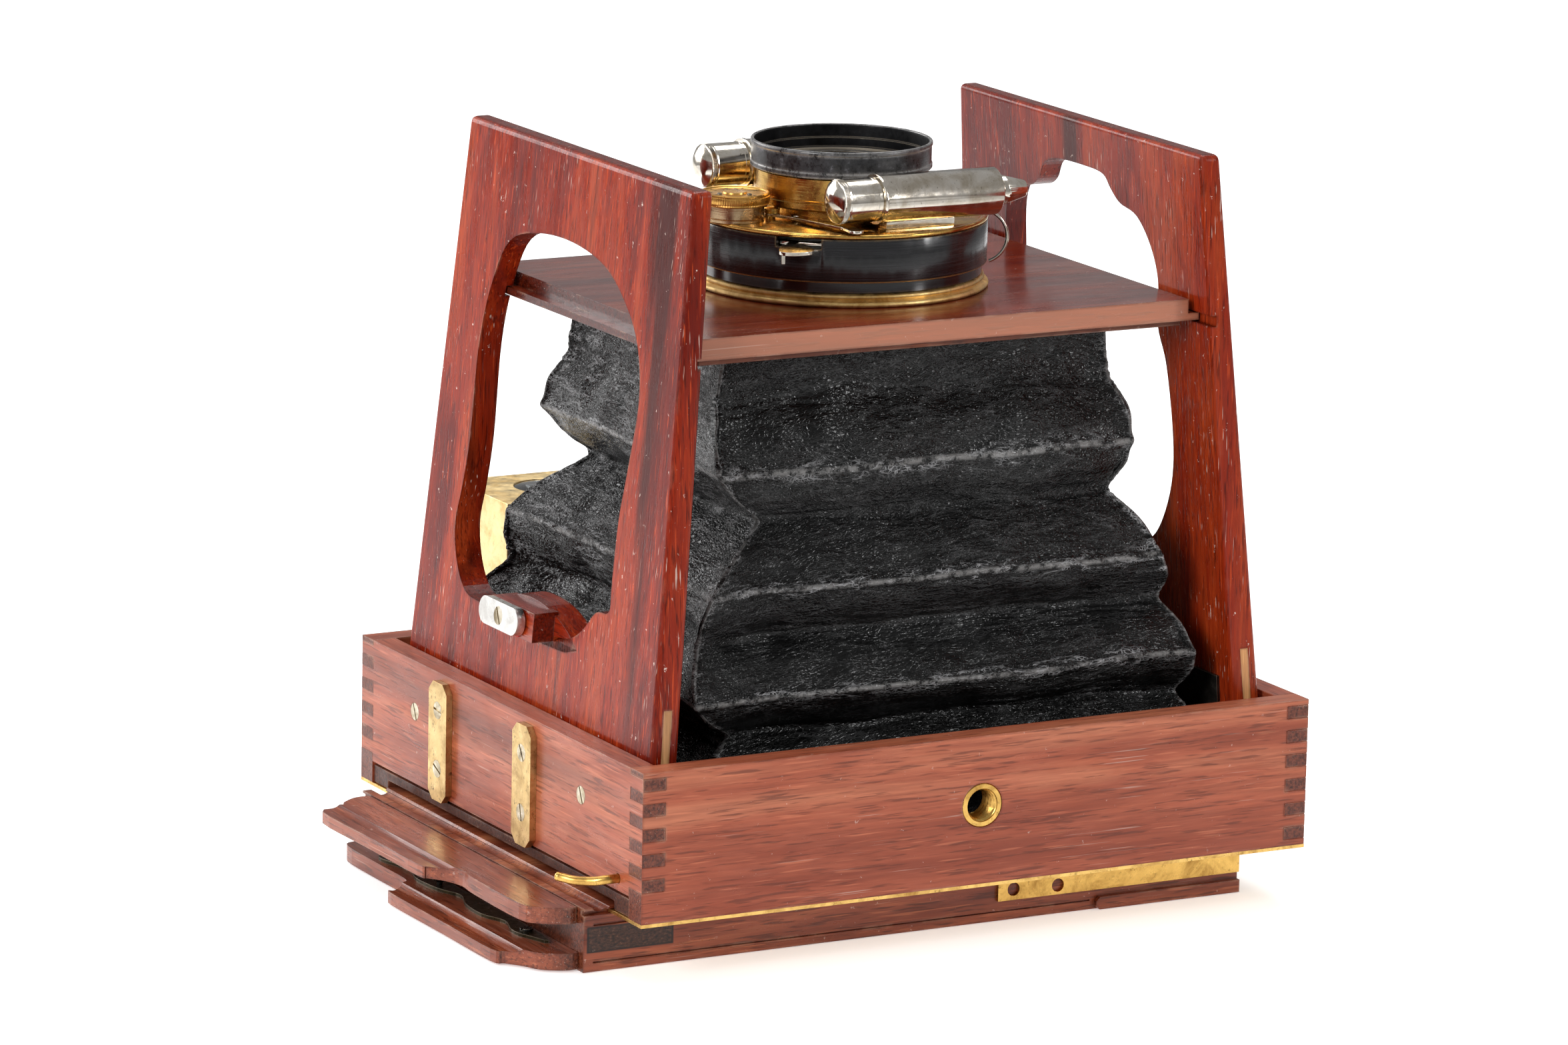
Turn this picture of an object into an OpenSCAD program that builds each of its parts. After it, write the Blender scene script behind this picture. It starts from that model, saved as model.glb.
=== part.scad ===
// Half-plate view camera lying on its plate holder, lens upwards. Millimetres, +Z up.
// Origin: centre of the case in plan, on the face that the camera rests on.

/* [Case] */
// Outside width of the case along X
case_w = 210; // [208:0.5:212]
// Outside depth of the case along Y
case_d = 176; // [174:0.5:178]
// Height of the case walls
case_h = 42; // [40:0.5:44]
// Height of the case's underside above the rest face
case_z = 17; // [17:0.1:17.2]
// Thickness of the left and right walls
side_t = 7; // [6.5:0.1:7]
// Thickness of the front and rear walls
end_t = 7.5; // [7:0.1:8]
// Spacing of the finger joints
finger_pitch = 7; // [6.8:0.1:7]
// Height of one finger
finger_h = 3.6; // [3.2:0.1:3.8]

/* [Wings] */
// Height of the wings' lower edge
wing_z0 = 44; // [44:0.1:44.4]
// Height of the wings' upper edge
wing_z1 = 211.9; // [208:0.5:214]
// Distance of a wing's outer face from the middle at its lower edge
wing_out0 = 97.66; // [97.4:0.02:97.66]
// Distance of a wing's outer face from the middle at its upper edge
wing_out1 = 82.4; // [82:0.1:83]
// Thickness of a wing at its lower edge
wing_t0 = 8.6; // [8.4:0.1:8.7]
// Thickness of a wing at its upper edge
wing_t1 = 6.3; // [6.2:0.1:6.6]
// Half width of a wing at its lower edge
wing_hw0 = 76.4; // [75:0.2:77]
// Half width of a wing at its upper edge
wing_hw1 = 67.75; // [67:0.25:69]

/* [Lens board] */
// Half width of the board's tongue along X
tongue_x = 81; // [80.6:0.1:81]
// Half width of the board's top layer along X
board_x = 77.5; // [76.5:0.1:77.6]
// Half depth of the board along Y
board_y = 61.5; // [60:0.5:63]
// Height of the board's lower face
board_z = 162.7; // [162.6:0.1:162.8]

/* [Shutter and lens] */
// Radius of the flange
flange_r = 42; // [42:0.1:43]
// Radius of the shutter drum
drum_r = 41.4; // [41.2:0.1:41.5]
// Height of the shutter drum
drum_h = 12.1; // [12:0.1:12.2]
// Radius of the lens barrel
barrel_r = 24.4; // [24:0.1:24.6]
// Outside radius of the lens hood
hood_r = 25.5; // [25.3:0.1:25.6]
// Radius inside the lens hood
hood_bore_r = 24.5; // [24.3:0.1:24.6]
// Radius of the speed dial
dial_r = 9.8; // [9.4:0.1:10]
// Radius of the air cylinders
air_r = 6.7; // [6.5:0.05:6.7]

/* [Plate holder] */
// Left end of the plate holder
holder_x0 = -113; // [-114:0.5:-112]
// Right end of the plate holder
holder_x1 = 94.5; // [94:0.1:95]
// Half depth of the plate holder
holder_y = 70; // [69.8:0.1:70.4]
// Height of the plate holder's upper face
holder_h = 17.9; // [17.9:0.1:18.2]
// Length of one glass plate
plate_l = 165; // [164:0.5:165]
// Width of one glass plate
plate_w = 121; // [120:0.5:121]

/* [Bush and finder] */
// Radius of the tripod bush's thread
bush_r = 4; // [3.6:0.1:4.6]
// Outside radius of the tripod bush
bush_out_r = 6.25; // [6:0.05:6.5]
// Width of the finder
finder_w = 44; // [40:1:46]

/* [Hidden] */
$fn = 64;
big = 400;

// Case
hx = case_w / 2;
hy = case_d / 2;
rim_z = case_z + case_h;
in_x = hx - side_t;
in_y = hy - end_t;
finger_top = 40.4;
mouth_z = case_z + 6.2;
frame_z0 = case_z + 2.5;
frame_z1 = case_z + 5.3;
leg_y0 = 71;
leg_y1 = in_y;
rail_x = 88.5;
rail_top = wing_z0 - 1.6;
rail_hy = 76;
bush_z = case_z + 22.3;
plate_t = 0.95;
runner_y = 68.6;
runner_x = 96;
strap_t = 2;
strap_w = 11.3;
strap_z0 = 22.6;
strap_z1 = 57;
strap_ys = [34.2, -18.8];
strap_screw_zs = [49, 32];
flush_screw = [[52.9, 44.2], [-51.3, 44.5]];
flush_l = 6.5;
head_r = 2.5;
head_h = 1.2;
shank_r = 1.3;
hook_at = [-hx, -74, case_z + 9.7];
hook_r = 1.3;

// Hinges
pin_x = 87;
pin_z = wing_z0 - 0.8;
pin_r = 0.8;
knuckle_r = 1.6;
leaf_t = 1;
leaf_top = 63;
hinge_len = 36;
hinge_ys = [-50, 50];
knuckle_gap = 0.2;

// Wings
wing_h = wing_z1 - wing_z0;
lean_out = (wing_out0 - wing_out1) / wing_h;
wing_in0 = wing_out0 - wing_t0;
wing_in1 = wing_out1 - wing_t1;
lean_in = (wing_in0 - wing_in1) / wing_h;
lean_deg = atan(lean_out);
function out_x(z) = wing_out0 - lean_out * (z - wing_z0);
function in_face_x(z) = wing_in0 - lean_in * (z - wing_z0);
spline_w = 2.5;
spline_top = 72;
spline_y = 72.9;
block_proud = 6.5;
block_y = [-12.5, 13.5];
block_z = [78, 86.2];
button_at = [3.3, 81.9];
button_gap = 0.5;
button_t = 2.5;
button_l = 24;
button_w = 7.8;
button_face = block_proud + button_gap;

// Left opening: a keyhole-like outline, closed through smooth points
left_hole = [[49, 150], [44.6, 168], [36, 181.5], [19, 186.4], [-2, 187.3], [-22, 184], [-36, 176],
  [-45, 166], [-48.7, 152], [-46.4, 134], [-43.8, 118], [-43.5, 101], [-43.4, 92.8], [-36, 91],
  [-29, 84.6], [-21, 80.6], [-6, 79.3], [16, 79.3], [33, 79.3], [43, 80.5], [50, 87.6], [53.2, 98],
  [51, 109], [49, 124]];
// Right opening: as wide, with lobes in its upper corners
right_hole = [[44, 163], [42, 181], [36, 188.5], [28.5, 188], [23.2, 190.7], [19.5, 196], [12, 198.4],
  [-4, 198.8], [-13.5, 198], [-17.5, 194.5], [-22.4, 191.1], [-31.5, 188.8], [-38.5, 181.5],
  [-42, 172], [-41, 159], [-45, 148], [-47.2, 128], [-45.4, 114], [-38.6, 101], [-30.6, 94.6],
  [-16, 90], [0, 88.5], [16, 90], [30.6, 94.6], [38.6, 101], [45.4, 114], [47.2, 128], [45, 148]];

// Lens board
cleat_h = 1.6;
tongue_h = 2.1;
top_h = 4;
tongue_z = board_z + cleat_h;
top_z = tongue_z + tongue_h;
lens_z = top_z + top_h;
groove_x = 81.5;
groove_low = tongue_z - 0.6;
groove_high = top_z + 0.4;
spigot_r = 24;
rear_bore_r = 18.5;

// Shutter and lens, upwards from the board
flange_h = [1.8, 2.1];
neck_h = 3;
neck_r = 40;
neck_z = lens_z + flange_h[0] + flange_h[1];
drum_z = neck_z + neck_h;
drum_top = drum_z + drum_h;
drum_in_r = drum_r - 1.8;
drum_floor = 1.5;
aperture_r = 16;
cover_h = 1.4;
cover_z = drum_top;
top_face = cover_z + cover_h;
barrel_low_r = 20.5;
barrel_low_h = 2.9;
barrel_top = top_face + 12.5;
barrel_in_r = 19.5;
hood_seat = 1;
hood_top = barrel_top + 7.7;
blade_t = 0.4;
blade_z = drum_z + 4;
blade_pivot = [32, 0];
blade_pin_r = 1.5;
slot_a = -135;
slot_half = 9;
slot_z0 = drum_top - 2.8;
trigger_z = drum_top - 2.5;
trigger_t = 1;
trigger_ring = [36.5, drum_in_r - 0.3];
// Outline of the trigger's thumb plate, outside the drum
thumb_plate = [[-31.6, -28.4], [-35.2, -30.6], [-38.1, -34.6], [-39.7, -38.6], [-37.6, -41], [-33.6, -41.6],
  [-30.6, -40.6], [-29.1, -37.8], [-28.4, -33.6], [-28.4, -30.4]];
dial_at = [-35.2, -3];
dial_base_r = 8.2;
dial_base_h = 4.4;
dial_h = 3.4;
dial_pin_r = 2;
air_y = 31.5;
air_z = [top_face + 8.4, top_face + 9];
air_shift = [0, -8];
air_x = [-6.4, 31];
air_bore_r = 5.5;
cap_r = 6.2;
cap_x = -19;
dome_h = 2.3;
piston_r = 5.42;
piston_l = 9;
link_z = top_face + 0.8;
link_t = 0.8;
link_pivot = [-25, -6];
link_path = [[-25, -6], [-21.5, -13.5], [-16, -33.5], [-16.5, -39]];
link_w = 3.8;
wire_r = 0.5;
wire_a = -27;

// Plate holder
sheet_t = 1.5;
sheet_hy = 60.5;
sheet_x1 = 84;
upper_sheet_z = 14.4;
lower_sheet_z = 2.2;
slot_gap = 0.1;
window_x = 80;
window_y = 58;
well_z = [5.8, 12.2];
glass_t = 1.6;
upper_tab_z = [13, 17.6];
lower_tab_z = [0.4, 5.1];
groove_cut = 0.6;

// Outlines of the draw slides' pulls, left of the holder, from far to near
upper_tab = [[-113, 65], [-118, 64.6], [-123, 61], [-124, 59], [-131, 58], [-131, 27], [-131, -4],
  [-129.5, -8], [-126.5, -12.5], [-124.6, -19.5], [-125.4, -28], [-125.5, -56], [-122, -62.5],
  [-116, -66], [-113, -66]];
lower_tab = [[-113, 64], [-118, 63.4], [-122.2, 60], [-122.8, 40], [-122.8, 21], [-125, 17.5],
  [-129, 14.7], [-131, 12.5], [-131, -20], [-131, -50], [-128.5, -54], [-125.2, -58.4],
  [-122.5, -63.5], [-117, -67], [-113, -67.2]];
lock_outline = [[-115.4, 43], [-119.4, 43.8], [-121.3, 40], [-118.6, 27], [-121.4, 17], [-120.6, 5],
  [-117.8, -4], [-120.6, -13], [-121.2, -24], [-118.4, -33], [-120.8, -42], [-119.6, -48.6],
  [-115.4, -49.4]];
lock_z = lower_tab_z[1];
lock_t = 1;
lock_screws_at = [[-117.6, -44.6], [-117.6, 38.6]];
ball_at = [-118.4, 8];

// Finder
finder_x = -58;
finder_y = [90, 126];
finder_z = [43, 93];
finder_t = 1.2;
finder_lens_r = 10;
finder_mid = [finder_x + finder_w / 2, (finder_y[0] + finder_y[1]) / 2];
screen_w = 34;
screen_h = 30;
screen_z = 60;

// Bellows: half width, half depth and height at each fold, from the lens board down
folds = [[60, 45, 162.4], [60, 45, 147], [64.6, 53.7, 128.9], [55.5, 48.5, 115.5], [70.6, 62.5, 98.5],
  [61.5, 54.5, 85], [77.7, 68.3, 70.8], [69, 61.5, 59.2], [78.6, 70.4, 48.5], [69.5, 62, 38],
  [78.6, 70.4, 30], [76, 68, 22.4]];
leather_t = 1;

// Curves
function spline_at(p0, p1, p2, p3, t) =
  0.5 * ((2 * p1) + (p2 - p0) * t + (2 * p0 - 5 * p1 + 4 * p2 - p3) * t * t
    + (3 * p1 - p0 - 3 * p2 + p3) * t * t * t);
function closed_curve(p, steps) = [for (i = [0:len(p) - 1], s = [0:steps - 1])
  spline_at(p[(i + len(p) - 1) % len(p)], p[i], p[(i + 1) % len(p)], p[(i + 2) % len(p)], s / steps)];
function open_curve(p, steps) = concat([for (i = [0:len(p) - 2], s = [0:steps - 1])
  spline_at(p[max(i - 1, 0)], p[i], p[i + 1], p[min(i + 2, len(p) - 1)], s / steps)], [p[len(p) - 1]]);

// A block between two corners
module block(low, high) {
  translate(low) cube(high - low);
}

// An outline in Y and Z, extruded along X
module side_shape(x0, x1) {
  translate([x0, 0, 0]) rotate([90, 0, 90]) linear_extrude(x1 - x0) children();
}

// An outline in X and Z, extruded along Y
module front_shape(y0, y1) {
  translate([0, y1, 0]) rotate([90, 0, 0]) linear_extrude(y1 - y0) children();
}

// A slotted screw whose head's outer face is at the origin, pointing down -Z
module screw(hr = head_r, hh = head_h, sr = shank_r, sl = 7) {
  difference() {
    union() {
      translate([0, 0, -hh]) cylinder(r = hr, h = hh);
      translate([0, 0, -sl]) cylinder(r = sr, h = sl - hh / 2);
    }
    translate([-hr, -0.3, -0.5]) cube([2 * hr, 0.6, 1]);
  }
}

// The hole for such a screw
module screw_hole(hr = head_r, hh = head_h, sr = shank_r, sl = 7) {
  translate([0, 0, -hh]) cylinder(r = hr, h = hh + 1);
  translate([0, 0, -sl]) cylinder(r = sr, h = sl);
}

// Puts children at each screw of the left (s = -1) or right (s = 1) wall
module at_flush_screws(s) {
  for (p = flush_screw) translate([s * hx, p[0], p[1]]) rotate([0, s * 90, 0]) rotate(25) children();
}

module at_strap_screws() {
  for (y = strap_ys, z = strap_screw_zs)
    translate([-hx - strap_t, y, z]) rotate([0, -90, 0]) rotate(y + z) children();
}

module at_runner_screws() {
  for (x = [-80, -27, 27, 80], s = [-1, 1])
    translate([x, s * (hy - end_t / 2), case_z - plate_t]) rotate([180, 0, 0]) children();
}

// The foot screws point into the rear wall
module at_foot_screws() {
  for (x = [-46, -26], z = [36, 52]) translate([x, finder_y[0], z]) rotate([-90, 0, 0]) rotate(x) children();
}

module fingers(s, lowest) {
  for (k = [0:lowest], m = [0, 1]) mirror([s > 0 ? 0 : 1, 0, 0]) mirror([0, m, 0])
    block([in_x, in_y, case_z + finger_top - finger_h - k * finger_pitch],
      [hx, hy, case_z + finger_top - k * finger_pitch]);
}

module end_wall(s) {
  difference() {
    block([-hx, s > 0 ? in_y : -hy, case_z], [hx, s > 0 ? hy : -in_y, rim_z]);
    fingers(-1, 4);
    fingers(1, 5);
    at_runner_screws() screw_hole(hr = 1.8, hh = 0.7, sr = 0.9, sl = 6);
  }
}

module front_wall() {
  color("sienna") difference() {
    end_wall(-1);
    translate([0, -hy - 1, bush_z]) rotate([-90, 0, 0]) cylinder(r = bush_out_r, h = end_t + 2);
  }
}

module rear_wall() {
  color("sienna") difference() {
    end_wall(1);
    at_foot_screws() screw_hole(hr = 2, sr = 1);
  }
}

module left_wall() {
  color("sienna") difference() {
    union() {
      block([-hx, -in_y, mouth_z], [-in_x, in_y, rim_z]);
      fingers(-1, 4);
    }
    at_strap_screws() screw_hole();
    at_flush_screws(-1) screw_hole(sl = flush_l);
    translate(hook_at) rotate([0, 90, 0]) cylinder(r = hook_r + 0.05, h = 12, center = true);
  }
}

module right_wall() {
  color("sienna") difference() {
    union() {
      block([in_x, -in_y, case_z], [hx, in_y, rim_z]);
      fingers(1, 5);
    }
    at_flush_screws(1) screw_hole(sl = flush_l);
  }
}

module tripod_bush() {
  color("goldenrod") translate([0, -hy, bush_z]) rotate([-90, 0, 0]) difference() {
    cylinder(r = bush_out_r, h = end_t);
    translate([0, 0, -1]) cylinder(r = bush_r, h = end_t + 2);
  }
}

module runner_plate() {
  color("gold") difference() {
    block([-hx, -hy, case_z - plate_t], [hx, hy, case_z]);
    block([-hx - 1, -runner_y, case_z - 2], [runner_x, runner_y, case_z + 1]);
    at_runner_screws() screw_hole(hr = 1.8, hh = 0.7, sr = 0.9, sl = 6);
  }
}

module strap_plates() {
  chamfer = 2.6;
  w = strap_w / 2;
  color("goldenrod") difference() {
    for (y = strap_ys) side_shape(-hx - strap_t, -hx) polygon([
      [y - w + chamfer, strap_z0], [y + w - chamfer, strap_z0], [y + w, strap_z0 + chamfer],
      [y + w, strap_z1 - chamfer], [y + w - chamfer, strap_z1], [y - w + chamfer, strap_z1],
      [y - w, strap_z1 - chamfer], [y - w, strap_z0 + chamfer]]);
    at_strap_screws() screw_hole();
  }
}

module case_screws() {
  color("gold") {
    at_strap_screws() screw();
    at_flush_screws(-1) screw(sl = flush_l);
    at_flush_screws(1) screw(sl = flush_l);
    at_runner_screws() screw(hr = 1.8, hh = 0.7, sr = 0.9, sl = 6);
    at_foot_screws() screw(hr = 2, sr = 1);
  }
}

module back_frame() {
  left = -hx + 0.5;
  color("saddlebrown") difference() {
    union() {
      block([left, -in_y, frame_z0], [in_x, in_y, frame_z1]);
      for (m = [0, 1]) mirror([0, m, 0]) block([left, leg_y0, case_z], [in_x, leg_y1, frame_z0]);
      block([runner_x + 0.5, -in_y, case_z], [in_x, in_y, frame_z0]);
    }
    block([-window_x, -window_y, case_z], [window_x, window_y, rim_z]);
  }
}

module hinge_rails() {
  color("saddlebrown") for (s = [0, 1]) mirror([s, 0, 0])
    block([rail_x, -rail_hy, frame_z1], [in_x, rail_hy, rail_top]);
}

// +Z runs along +Y on the right wing's hinge axis, from height y
module at_pin(y) {
  translate([pin_x, y, pin_z]) rotate([-90, 0, 0]) children();
}

module knuckles(r, odd, y) {
  seg = hinge_len / 3;
  for (i = [0:2]) if (i % 2 == odd)
    at_pin(y - hinge_len / 2 + i * seg + knuckle_gap / 2) cylinder(r = r, h = seg - knuckle_gap);
}

module fixed_leaf(y) {
  seg = hinge_len / 3;
  difference() {
    union() {
      block([rail_x - leaf_t, y - hinge_len / 2, pin_z - 14],
        [rail_x, y + hinge_len / 2, pin_z - knuckle_r - 0.2]);
      for (i = [0, 2]) translate([0, y - hinge_len / 2 + i * seg, 0])
        block([rail_x - leaf_t, knuckle_gap / 2, pin_z - 3], [rail_x - 0.1, seg - knuckle_gap / 2, pin_z]);
      knuckles(knuckle_r, 0, y);
    }
    at_pin(y - hinge_len) cylinder(r = pin_r, h = 2 * hinge_len);
  }
}

module fixed_leaves() {
  color("dimgray") for (s = [0, 1], y = hinge_ys) mirror([s, 0, 0]) fixed_leaf(y);
}

module hinge_pins() {
  color("gray") for (s = [0, 1], y = hinge_ys) mirror([s, 0, 0])
    at_pin(y - hinge_len / 2) cylinder(r = pin_r, h = hinge_len);
}

// The leaves on the right wing; their inner edge follows the wing's lean
module moving_leaf(y) {
  seg = hinge_len / 3;
  z0 = wing_z0 + 1;
  face = 0.02;
  difference() {
    union() {
      front_shape(y - hinge_len / 2, y + hinge_len / 2) polygon([
        [in_face_x(z0) - leaf_t, z0], [in_face_x(z0) - face, z0],
        [in_face_x(leaf_top) - face, leaf_top], [in_face_x(leaf_top) - leaf_t, leaf_top]]);
      front_shape(y - seg / 2 + knuckle_gap / 2, y + seg / 2 - knuckle_gap / 2) polygon([
        [pin_x + 0.4, pin_z], [pin_x + knuckle_r, pin_z], [in_face_x(z0) - face, z0],
        [in_face_x(z0 + 1) - face, z0 + 1], [in_face_x(z0 + 1) - leaf_t, z0 + 1]]);
      knuckles(knuckle_r, 1, y);
    }
    at_pin(y - hinge_len) cylinder(r = pin_r + 0.05, h = 2 * hinge_len);
  }
}

module right_leaves() {
  color("dimgray") for (y = hinge_ys) moving_leaf(y);
}

module left_leaves() {
  color("dimgray") mirror([1, 0, 0]) for (y = hinge_ys) moving_leaf(y);
}

// Plank of the right wing before its opening is cut
module wing_plank() {
  intersection() {
    side_shape(60, 110) polygon([[-wing_hw0, wing_z0], [wing_hw0, wing_z0],
      [wing_hw1, wing_z1], [-wing_hw1, wing_z1]]);
    front_shape(-100, 100) polygon([[wing_in0, wing_z0], [wing_out0, wing_z0],
      [wing_out1, wing_z1], [wing_in1, wing_z1]]);
  }
}

// The pale splines let into the edges
module spline_strips() {
  m0 = (wing_in0 + wing_out0) / 2;
  m1 = (in_face_x(spline_top) + out_x(spline_top)) / 2;
  for (s = [-1, 1]) front_shape(s > 0 ? spline_y : -100, s > 0 ? 100 : -spline_y) polygon([
    [m0 - spline_w / 2, wing_z0 - 1], [m0 + spline_w / 2, wing_z0 - 1],
    [m1 + spline_w / 2, spline_top], [m1 - spline_w / 2, spline_top]]);
}

module wing(hole) {
  difference() {
    wing_plank();
    side_shape(60, 110) polygon(closed_curve(hole, 5));
    block([60, -100, groove_low], [groove_x, 100, groove_high]);
    spline_strips();
  }
}

module right_wing() {
  color("firebrick") wing(right_hole);
}

module right_splines() {
  color("burlywood") intersection() {
    wing_plank();
    spline_strips();
  }
}

module left_wing() {
  color("firebrick") difference() {
    mirror([1, 0, 0]) wing(left_hole);
    latch_body();
    in_button_frame() cylinder(r = 1.3, h = 60, center = true);
  }
}

module left_splines() {
  color("burlywood") mirror([1, 0, 0]) intersection() {
    wing_plank();
    spline_strips();
  }
}

// Block on the left wing that carries the turn button; its arched back fills the opening's sill
module latch_body() {
  arch = open_curve([[14, 84.5], [11, 86.4], [2, 87.2], [-9, 86.2], [-20, 82.6], [-27, 78.4]], 5);
  front_shape(block_y[0], block_y[1]) polygon([
    [-out_x(block_z[0]) - block_proud, block_z[0]], [-out_x(block_z[0]) + 1, block_z[0]],
    [-out_x(block_z[1]) + 1, block_z[1]], [-out_x(block_z[1]) - block_proud, block_z[1]]]);
  intersection() {
    side_shape(-100, -60) polygon(concat(arch, [[-20, 76.4], [0, 75.8], [14, 77]]));
    front_shape(-60, 60) polygon([
      [-out_x(70), 70], [-in_face_x(70) - 0.3, 70], [-in_face_x(95) - 0.3, 95], [-out_x(95), 95]]);
  }
}

module latch_block() {
  color("brown") difference() {
    latch_body();
    in_button_frame() cylinder(r = 1.3, h = 60, center = true);
  }
}

// Frame with its origin on the left wing's outer face at the button, +Z outwards
module in_button_frame() {
  translate([-out_x(button_at[1]), button_at[0], button_at[1]]) rotate([0, -90 + lean_deg, 0]) children();
}

module turn_button() {
  r = button_w / 2;
  l = (button_l - button_w) / 2;
  color("silver") in_button_frame() translate([0, 0, button_face]) difference() {
    union() {
      translate([-r, -l, 0]) cube([button_w, 2 * l, button_t]);
      for (s = [-1, 1]) translate([0, s * l, 0]) cylinder(r = r, h = button_t);
    }
    translate([0, 0, -1]) cylinder(r = 1.25, h = button_t + 2);
    translate([0, 0, button_t - 1]) cylinder(r = 2.6, h = 2);
  }
}

module button_screw() {
  color("lightgray") in_button_frame() translate([0, 0, button_face + button_t]) rotate(30)
    screw(hr = 2.6, hh = 1, sr = 1.25, sl = 9);
}

module lens_board() {
  color("brown") difference() {
    union() {
      block([-board_x, -board_y, top_z], [board_x, board_y, lens_z]);
      block([-tongue_x, -board_y, tongue_z], [tongue_x, board_y, top_z]);
    }
    translate([0, 0, board_z]) cylinder(r = spigot_r, h = 20);
    at_flange_screws() cylinder(r = 0.9, h = 12, center = true);
  }
}

module board_cleat() {
  color("saddlebrown") difference() {
    block([-board_x + 1.5, -board_y + 1.5, board_z], [board_x - 1.5, board_y - 1.5, tongue_z]);
    block([-55, -40, board_z - 1], [55, 40, tongue_z + 1]);
  }
}

module at_flange_screws() {
  for (a = [0:60:300]) rotate(a + 15) translate([28, 0, lens_z + 2.5]) children();
}

module lens_flange() {
  color("gold") difference() {
    union() {
      translate([0, 0, lens_z]) cylinder(r = flange_r, h = flange_h[0]);
      translate([0, 0, lens_z + flange_h[0]]) cylinder(r = flange_r - 1.3, h = flange_h[1]);
      translate([0, 0, tongue_z]) cylinder(r = spigot_r, h = lens_z - tongue_z);
    }
    translate([0, 0, board_z]) cylinder(r = rear_bore_r, h = 30);
    at_flange_screws() screw_hole(hr = 2, hh = 1, sr = 0.9, sl = 6);
  }
}

module lens_screws() {
  color("gold") {
    at_flange_screws() screw(hr = 2, hh = 1, sr = 0.9, sl = 6);
    translate([link_pivot[0], link_pivot[1], link_z + link_t + 1.3])
      screw(hr = 2.2, hh = 1.2, sr = 1, sl = 4.2);
  }
}

module neck_ring() {
  color("black") translate([0, 0, neck_z]) difference() {
    cylinder(r = neck_r, h = neck_h);
    translate([0, 0, -1]) cylinder(r = 31, h = neck_h + 2);
  }
}

// A wedge between two angles
module sector(r, a0, a1, h) {
  rotate(a0) rotate_extrude(angle = a1 - a0) square([r, h]);
}

module shutter_drum() {
  color("dimgray") {
    difference() {
      translate([0, 0, drum_z]) cylinder(r = drum_r, h = drum_h);
      translate([0, 0, drum_z + drum_floor]) cylinder(r = drum_in_r, h = drum_h);
      translate([0, 0, drum_z - 1]) cylinder(r = aperture_r, h = 10);
      translate([0, 0, slot_z0]) sector(60, slot_a - slot_half, slot_a + slot_half, 5);
    }
    translate([blade_pivot[0], blade_pivot[1], drum_z + drum_floor / 2]) cylinder(r = blade_pin_r, h = 6);
  }
}

module drum_cover() {
  color("goldenrod") difference() {
    translate([0, 0, cover_z]) cylinder(r = drum_r + 0.1, h = cover_h);
    translate([0, 0, cover_z - 1]) cylinder(r = aperture_r, h = 10);
    translate([link_pivot[0], link_pivot[1], cover_z - 1]) cylinder(r = 1, h = 5);
  }
}

module lens_barrel() {
  color("gold") difference() {
    union() {
      translate([0, 0, top_face]) cylinder(r = barrel_low_r, h = barrel_low_h + 1);
      translate([0, 0, top_face + barrel_low_h])
        cylinder(r = barrel_r, h = barrel_top - top_face - barrel_low_h);
    }
    translate([0, 0, top_face - 1]) cylinder(r = 17.5, h = 40);
    translate([0, 0, top_face + 5]) cylinder(r = barrel_in_r, h = 40);
  }
}

module lens_hood() {
  color("black") translate([0, 0, barrel_top]) difference() {
    cylinder(r = hood_r, h = hood_top - barrel_top);
    translate([0, 0, hood_seat]) cylinder(r = hood_bore_r, h = 20);
    translate([0, 0, -1]) cylinder(r = barrel_in_r, h = 20);
  }
}

// A lens with two curved faces: edge radius, edge height and rise of each face
module lens(r, edge, rise) {
  face_r = (r * r + rise * rise) / (2 * rise);
  half = asin(r / face_r);
  upper = [for (i = [0:8]) let (a = half - half * i / 8)
    [face_r * sin(a), edge + rise - face_r * (1 - cos(a))]];
  lower = [for (i = [0:8]) let (a = half * i / 8) [face_r * sin(a), face_r * (1 - cos(a)) - rise]];
  rotate_extrude() polygon(concat(upper, lower));
}

module front_lens() {
  color("lightblue") translate([0, 0, top_face + 6.7]) lens(barrel_in_r, 2.4, 1.6);
}

module rear_lens() {
  color("lightblue") translate([0, 0, tongue_z + 3.4]) lens(rear_bore_r, 2.2, 1.5);
}

// Frame of an air cylinder: i = 0 for the release, 1 for the delay; +Z runs along the row's +X
module in_air_frame(i) {
  translate([air_shift[i], i == 0 ? -air_y : air_y, air_z[i]]) rotate([0, 90, 0]) children();
}

module air_cylinders() {
  color("silver") for (i = [0, 1]) in_air_frame(i) difference() {
    union() {
      translate([0, 0, air_x[0]]) cylinder(r = air_r, h = air_x[1] - air_x[0]);
      translate([0, 0, air_x[0] - 0.5]) cylinder(r = air_r + 0.35, h = 1);
    }
    translate([0, 0, air_x[0] - 1]) cylinder(r = air_bore_r, h = 30);
    if (i == 0) translate([0, 0, 0]) cylinder(r = 1.2, h = 60);
  }
}

module cylinder_caps() {
  sphere_r = (cap_r * cap_r + dome_h * dome_h) / (2 * dome_h);
  color("silver") for (i = [0, 1]) in_air_frame(i) {
    difference() {
      translate([0, 0, cap_x]) cylinder(r = cap_r, h = air_x[0] - 0.5 - cap_x);
      translate([0, 0, cap_x + 2]) cylinder(r = 4.8, h = 40);
    }
    intersection() {
      translate([0, 0, cap_x - dome_h + sphere_r]) sphere(r = sphere_r);
      translate([0, 0, cap_x - dome_h]) cylinder(r = cap_r, h = dome_h);
    }
  }
}

module cylinder_nozzle() {
  color("silver") in_air_frame(0) translate([0, 0, air_x[1]]) rotate_extrude() polygon([
    [1, 0], [4.5, 0], [4.5, 1.2], [3.7, 1.8], [4.1, 3], [2.7, 8.6], [2.4, 9.8], [1, 9.8]]);
}

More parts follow.
